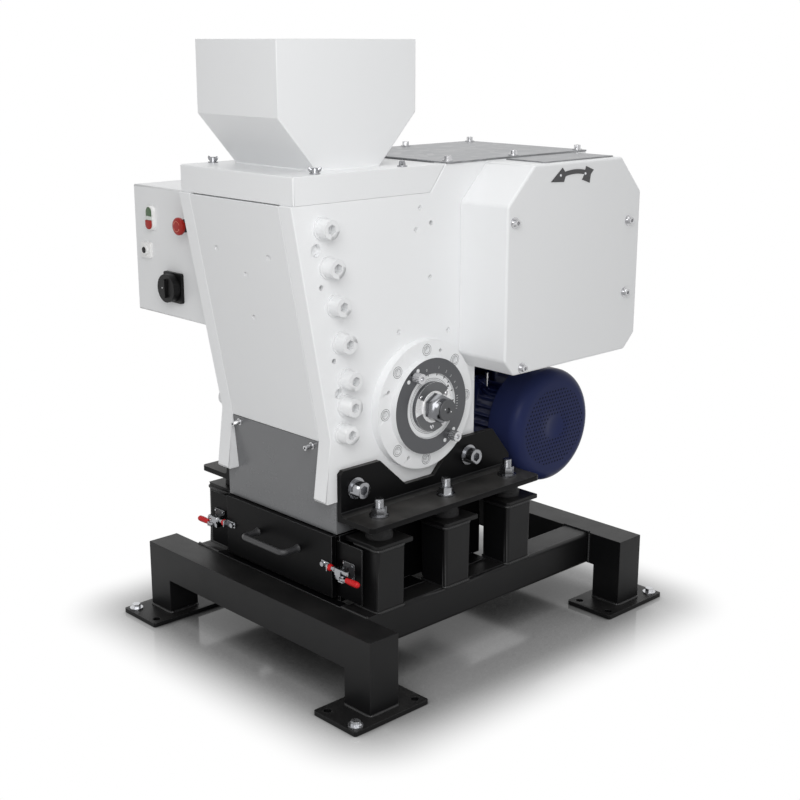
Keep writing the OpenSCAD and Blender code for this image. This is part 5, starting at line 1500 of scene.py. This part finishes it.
@dataclass
class ControlBox:
    """Control box with its door, buttons and switches."""

    door_y: float = -390.0
    duo: tuple[float, float] = (-420.0, 958.0)
    reset: tuple[float, float] = (-443.5, 881.0)
    stop: tuple[float, float] = (-273.0, 955.0)
    main: tuple[float, float] = (-337.0, 805.0)
    stop_out: float = 33.7

    def key_cap(self, name: str, side: int, front: float, back: float) -> Obj:
        """Half of the double button: outlines that shrink towards a slightly domed front.

        The outline is two quarter circles of radius 11.5 mm over a straight foot. Ring k is the
        outline scaled by a factor about its middle and set at a depth; both follow a quarter
        circle near the front, and the middle stands 0.5 mm proud.

        Args:
            name: Object name.
            side: 1 for the upper half, -1 for the lower one.
            front: Place of the front rim in Y.
            back: Place of the back in Y.

        Returns:
            The new object.
        """
        r, middle, lip = 11.5, 14.0, 1.2
        a = np.linspace(0, np.pi / 2, 9)
        c, s = r * np.cos(a), r * np.sin(a)
        top = np.vstack([np.stack([0.2 + c, 14.2 + s], 1), np.stack([-0.2 - s, 14.2 + c], 1)])
        base = np.vstack([top, [[-11.7, 6.0], [-10.5, 4.8], [10.5, 4.8], [11.7, 6.0]]])
        t = np.linspace(0, np.pi / 2, 6)[1:]
        scale = np.concatenate([[1, 1], 1 - 0.09 * (1 - np.cos(t)), [0.6, 0.2]])
        depth = np.concatenate([[back, front + lip], front + lip - lip * np.sin(t),
                                [front - 0.35, front - 0.5]])
        u = scale[:, None] * base[None, :, 0]
        v = scale[:, None] * (base[None, :, 1] - middle)
        points = np.stack([self.duo[0] + u, np.broadcast_to(depth[:, None], u.shape),
                           self.duo[1] + side * (middle + v)], -1)
        return rings(name, points, crisp=50)

    def seat(self) -> Obj:
        """Thin frame round the double button: four rings, a rectangle and a long hole at two depths.

        Returns:
            The new object.
        """
        outer, inner = round_outline(30.6, 58.6, 2.0), round_outline(27.6, 55.6, 13.7)
        flat = np.stack([outer, outer, inner, inner])
        y = self.door_y - np.array([0.02, 0.3, 0.3, 0.02])
        points = np.stack([self.duo[0] + flat[..., 0], np.broadcast_to(y[:, None], flat.shape[:2]),
                           self.duo[1] + flat[..., 1]], -1)
        return rings("double_button_seat", points, True)

    def stop_cap(self) -> Obj:
        """Mushroom cap: a turned profile with a shallow crown and a rolled rim.

        Returns:
            The new object.
        """
        t = np.linspace(0, np.pi / 2, 8)
        profile = [(0.5, -0.2), (8, 0.0), (15.2, 0.5), *zip(15.5 + 4.5 * np.sin(t), 4.6 - 4.0 * np.cos(t)),
                   (20, 8.6), (19.4, 10.2), (17.5, 10.9), (11, 11), (11, 16), (8, 16), (8, 49)]
        return lathe("estop_cap", profile, (self.stop[0], self.door_y - self.stop_out, self.stop[1]), Y, 56)

    def stop_arrows(self) -> Obj:
        """Two pale turn-to-release arrows: arcs from 10.6 to 12 mm that end in a triangle.

        Returns:
            The new object.
        """
        parts = []
        for k in (0, 1):
            t = np.radians(np.linspace(20, 140, 15)) + k * np.pi
            arc = np.stack([np.cos(t), np.sin(t)], 1)
            head = [[r * math.cos(t[-1] + lead), r * math.sin(t[-1] + lead)]
                    for r, lead in ((13.6, 0), (11.3, 0.36), (9.0, 0))]
            outline = np.vstack([12.0 * arc, head, 10.6 * arc[::-1]])
            at = (self.stop[0], self.door_y - 33.6, self.stop[1])
            parts.append(plate("arrow", outline, 0.0, 0.45, at, X, Z))
        return joined("estop_arrows", parts)

    def build(self, looks: Wardrobe) -> None:
        """Makes and dresses the control box.

        Args:
            looks: Wardrobe that holds the finishes.
        """
        y = self.door_y
        looks.rounded("white_cover_paint", 1.2, longer(30), "control_box")
        looks.rounded("white_cover_paint", 4.5, self.door_mask, "box_door", segments=4)
        looks.nodes("galvanised_sheet", "contactor_plate")
        looks.clean("white_plastic", "button_bezels", crisp=24)
        looks.clean("black_plastic", "door_fittings")
        for key, side, out, finish in (("start", 1, 10.5, "green_plastic"), ("stop", -1, 13, "red_plastic")):
            looks.fit(self.key_cap(key + "_key", side, y - out, y + 14), key, finish, key + "_button")
        looks.fit(self.seat(), "door", "white_cover_paint")
        lens = plate("double_button_lens", round_outline(23.2, 8.6, 1.5), 0, 1.6,
                     (self.duo[0], y - 9.9, self.duo[1]), X, Z, 0.5)
        looks.fit(lens, "door", "clear_lens")
        profile = [(7.3, 10), (7.3, -12.3), (6.8, -13.2), (5.6, -13.5), (3.5, -13.1), (1, -13.0)]
        button = lathe("reset_key", profile, (self.reset[0], y, self.reset[1]), Y, 40)
        looks.fit(button, "reset", "black_plastic", "reset_button")
        looks.fit(self.stop_cap(), "estop", "red_plastic", "estop_head")
        looks.fit(self.stop_arrows(), "estop", "pale_red_mark")
        looks.rounded("black_plastic", 1.4, longer(2.0), "switch_knob")
        dot = lathe("switch_dot", [(1.7, 0), (1.7, 0.3), (1, 0.5)],
                    (self.main[0] - 3.5, y - 34, self.main[1] + 2), (0, -1, 0), 20)
        looks.fit(dot, "main_switch", "scale_white")

    def door_mask(self, mid: Array, way: Array, length: Array) -> Array:
        """Rounding on the door's front edges."""
        return ((mid[:, 1] < self.door_y + 10) & (length > 100)).astype(float)


@dataclass
class DrawerUnit:
    """Drawer, its bent handle and catches, the cabinet and the side clamps."""

    front_y: float = -372.0
    handle_z: float = 268.0
    handle_l: float = 144.0
    handle_out: float = 44.0
    bar_r: float = 7.0
    bend_r: float = 14.0
    lever: tuple[float, float, float] = (236.0, -383.0, 248.0)
    plunger: tuple[float, float, float] = (188.4, -379.0, 260.0)
    foot: tuple[float, float, float] = (232.0, -362.0, 260.0)

    def turned(self, name: str, side: int, profile: Sequence[tuple[float, float]], at: Vec,
               crisp: float = 35.0) -> Obj:
        """Turns a part of a side clamp round an axis that points outwards.

        Args:
            name: Object name without the side.
            side: 1 for the right clamp, -1 for the left one.
            profile: Pairs of radius and height.
            at: Start of the axis on the right side.
            crisp: Angle in degrees above which an edge stays sharp.

        Returns:
            The new object.
        """
        return lathe(f"{name}_{hand(side)}", profile, (side * at[0], at[1], at[2]), (side, 0, 0), 28, crisp)

    def handle(self) -> Obj:
        """Bent bar handle: a circle carried out, along and back.

        Its radius grows in the feet by 2.8 mm times (1 - way from the drawer / 10 mm) to the power 1.5.

        Returns:
            The new object.
        """
        h, o, b, y = self.handle_l / 2, self.handle_out, self.bend_r, self.front_y
        t = np.linspace(0, np.pi / 2, 10)
        bend = np.stack([-h + b - b * np.cos(t), y - o + b - b * np.sin(t)], 1)
        half = np.vstack([[[-h, y - k] for k in (0, 2, 5, 10)], bend])
        path = np.vstack([half, half[::-1] * [-1, 1]])
        path = np.column_stack([path, np.full(len(path), self.handle_z)])
        radius = self.bar_r + 2.8 * np.clip(1 - (y - path[:, 1]) / 10, 0, 1) ** 1.5
        return sweep("bent_handle", path, radius, Z, 24)

    def grip(self, side: int) -> Obj:
        """Rubber grip: a turned form that swells by a sine towards its round end.

        A cosine of nine waves makes shallow rings, and a quarter ellipse closes the end.

        Args:
            side: 1 for the right side, -1 for the left one.

        Returns:
            The new object.
        """
        s = np.linspace(0, 1, 40)
        r = 5.4 + 1.2 * np.sin(np.pi * s * 0.75) - 0.3 * np.cos(2 * np.pi * s * 9) * (s < 0.8)
        r = r * np.sqrt(np.clip(1 - np.clip((s - 0.84) / 0.16, 0, 1) ** 2, 0.0, 1)) + 0.2
        x, y, z = self.lever
        return self.turned("lever_grip", side, list(zip(r, s * 40.5)), (x + 12, y, z), 60)

    def lever_arm(self, side: int) -> Obj:
        """Pressed steel arm: a waisted outline with an eye, folded round the pin.

        Args:
            side: 1 for the right side, -1 for the left one.

        Returns:
            The new object.
        """
        x, y, z = self.lever
        t = np.linspace(np.pi / 2, 1.5 * np.pi, 13)
        outline = np.vstack([np.stack([8 * np.cos(t), 8 * np.sin(t)], 1),
                             [[8, -5.2], [18, -4.4], [30, -4.2], [30, 4.2], [18, 4.4], [8, 5.2]]])
        return plate(f"lever_arm_{hand(side)}", outline * [side, 1], -2.6, 2.6, (side * x, y, z), X, Y, 0.7)

    def tip(self, side: int) -> Obj:
        """Red pressure tip: a turned rubber foot with a bell-shaped skirt."""
        return self.turned("clamp_tip", side, [(6.4, 0.0), (7.6, 0.8), (8.0, 2.2), (7.7, 4.2), (6.6, 6.6),
                                               (6.0, 8.6), (5.2, 9.0)], self.plunger)

    def rod(self, side: int) -> Obj:
        """Plunger rod with its end collar, turned."""
        return self.turned("clamp_rod", side, [(5, 8.7), (5, 56.4), (6, 56.8), (6, 61.2), (5.2, 61.6),
                                               (1, 61.6)], self.plunger)

    def foot_plate(self, side: int) -> Obj:
        """Dark coated face of the clamp's square foot.

        Args:
            side: 1 for the right side, -1 for the left one.

        Returns:
            The new object.
        """
        x, y, z = self.foot
        outline = round_outline(35, 35, 1.5)
        return plate(f"clamp_foot_face_{hand(side)}", outline, 0.02, 0.3, (side * x, y, z), X, Z)

    def pin(self, side: int) -> Obj:
        """Rivet head on the lever's pin, turned with a shallow dome.

        Args:
            side: 1 for the right side, -1 for the left one.

        Returns:
            The new object.
        """
        x, y, z = self.lever
        return lathe(f"lever_pin_{hand(side)}", [(5.4, 0), (5.4, 1.0), (4.4, 1.9), (2.4, 2.4), (0.5, 2.5)],
                     (side * x, y, z + 4.4), Z, 24)

    def build(self, looks: Wardrobe) -> None:
        """Makes and dresses the drawer side.

        Args:
            looks: Wardrobe that holds the finishes.
        """
        looks.rounded("black_sheet_coat", 0.9, longer(20), "drawer_cabinet", segments=2)
        looks.rounded("black_sheet_coat", 1.8, longer(60), "drawer")
        looks.fit(self.handle(), "drawer_unit", "black_handle_coat", "drawer_handle")
        looks.rounded("fastener_steel", 0.8, longer(10), "drawer_catches", segments=2)
        looks.rounded("fastener_steel", 0.7, longer(9), "clamp_bases", segments=2)
        for side in (-1, 1):
            lever, plunger = f"lever_{hand(side)}", f"plunger_{hand(side)}"
            looks.fit(self.lever_arm(side), lever, "fastener_steel", "clamp_" + lever)
            looks.fit(self.grip(side), lever, "red_rubber", "clamp_" + lever)
            looks.fit(self.rod(side), plunger, "fastener_steel", "clamp_" + plunger)
            looks.fit(self.tip(side), plunger, "red_rubber", "clamp_" + plunger)
            looks.fit(self.foot_plate(side), "base", "black_handle_coat")
            looks.fit(self.pin(side), "base", "fastener_steel")


# Studio


def seen(g: Graph) -> Socket:
    """One for rays from the eye, off mirrors and through glass, nought for the rest.

    Args:
        g: Graph of the material or world.

    Returns:
        The factor, 0 or 1.
    """
    path = g.add("LightPath").outputs
    some = g.plus(path["Is Camera Ray"], path["Is Glossy Ray"])
    return g.math("ADD", some, path["Is Transmission Ray"], True)


@dataclass(frozen=True)
class Studio:
    """Camera at the photograph's angle, plain floor and soft light; metres, degrees and watts."""

    eye: tuple[float, float, float] = (2.26396, -2.14814, 1.37097)
    yaw: float = 46.361
    pitch: float = 15.131
    roll: float = 0.093
    lens: float = 60.71
    sky: float = 0.37
    base: tuple[float, float] = (0.40, 0.454)
    fade: tuple[float, float] = (0.02, 0.235)
    sheen: float = 0.10

    def camera(self) -> None:
        """Places the camera: a turn about Z, then the tilt, then the small roll."""
        data = bpy.data.cameras.new("view")
        data.lens, data.sensor_width, data.clip_end = self.lens, 36.0, 100.0
        turn = Matrix.Identity(4)
        for angle, axis in ((self.yaw, "Z"), (90 - self.pitch, "X"), (self.roll, "Z")):
            turn = turn @ Matrix.Rotation(math.radians(angle), 4, axis)
        cam = placed("view", data)
        cam.matrix_world = Matrix.Translation(self.eye) @ turn
        bpy.context.scene.camera = cam

    def lamp(self, name: str, place: Vec, aim: Vec, size: float, power: float) -> None:
        """Adds a square soft lamp that looks at a point.

        Args:
            name: Object name.
            place: Place of the lamp.
            aim: Point that it looks at.
            size: Side of its square.
            power: Power in watts.
        """
        data = bpy.data.lights.new(name, "AREA")
        data.shape, data.size, data.energy = "SQUARE", size, power
        back = unit(np.subtract(place, aim))
        e1 = unit(np.cross(Z, back)) if abs(back[2]) < 0.99 else np.array([1.0, 0, 0])
        axes = np.stack([e1, np.cross(back, e1), back], 1)
        placed(name, data).matrix_world = Matrix.Translation(place) @ Matrix(axes.tolist()).to_4x4()

    def background(self) -> None:
        """White sky for the eye, mirrors and glass, a plainer one for the light."""
        world = bpy.data.worlds.new("sky")
        bpy.context.scene.world = world
        world.use_nodes = True
        world.node_tree.nodes.clear()
        g = Graph(world.node_tree)
        sky = g.add("Background", {"Color": (1, 1, 1, 1), "Strength": g.spread(seen(g), 0, 1, self.sky, 1.0)})
        g.add("OutputWorld", {"Surface": sky.outputs[0]})

    def floor(self) -> None:
        """Pale floor whose soft contact shadow fades to plain white away from the base.

        The shadow is the openness of the sky to a power; it fades by a smooth step of the
        distance outside the base's rectangle.
        """
        r, under = 30.0, -0.0004
        mesh = bpy.data.meshes.new("studio_floor")
        mesh.from_pydata([(-r, -r, under), (r, -r, under), (r, r, under), (-r, r, under)], [], [(0, 1, 2, 3)])
        mat = bpy.data.materials.new("studio_floor")
        mat.use_nodes = True
        mat.node_tree.nodes.clear()
        g = Graph(mat.node_tree)
        open_sky = g.add("AmbientOcclusion", {"Distance": 1.1}, samples=12).outputs["AO"]
        place = g.add("SeparateXYZ", {0: g.add("TexCoord").outputs["Object"]}).outputs
        out = [g.math("MAXIMUM", g.minus(g.math("ABSOLUTE", place[k]), self.base[k]), 0.0) for k in (0, 1)]
        fade = g.spread(g.reach(*out), *self.fade, 0.0, 1.0, "SMOOTHSTEP")
        light = g.spread(fade, 0.0, 1.0, g.times(g.math("POWER", open_sky, 2.3), 0.66), 1.0)
        plain = g.add("BsdfDiffuse", {"Color": (0.86, 0.86, 0.86, 1)}).outputs[0]
        white = g.add("Emission", {"Color": (1, 1, 1, 1), "Strength": light}).outputs[0]
        gloss = g.add("BsdfGlossy", {"Color": (1, 1, 1, 1), "Roughness": 0.12}).outputs[0]
        sheen = g.add("MixShader", {0: g.spread(fade, 0.0, 1.0, self.sheen, 0.0), 1: white, 2: gloss})
        both = g.add("MixShader", {0: seen(g), 1: plain, 2: sheen.outputs[0]})
        g.add("OutputMaterial", {"Surface": both.outputs[0]})
        mesh.materials.append(mat)
        placed("studio_floor", mesh)

    def build(self) -> None:
        """Sets up camera, light and floor."""
        bpy.context.scene.view_settings.view_transform = "Standard"
        self.camera()
        self.background()
        self.floor()
        self.lamp("overhead", (0.2, 0.3, 4.2), (0, 0, 0.6), 3.0, 38.0)
        self.lamp("front_right", (1.8, -1.8, 2.0), (0, -0.1, 0.75), 1.6, 36.5)


def main() -> None:
    """Builds the sub-assemblies in order."""
    logging.basicConfig(level=logging.INFO, format="%(name)s: %(message)s")
    Studio().build()
    looks = Wardrobe()
    for part in (BaseFrame(), Brackets(), CrusherBody(), Feed(), Drive(), GapSetting(), ControlBox(),
                 DrawerUnit()):
        part.build(looks)
        LOG.info("%s done", type(part).__name__)
    bare = [n for n, o in frame["nodes"].items() if not o.hide_render
            and not any(m in looks.made.values() for m in o.data.materials)]
    LOG.info("nodes without a finish: %s", bare)
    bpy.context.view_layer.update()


if __name__ == "__main__":
    main()
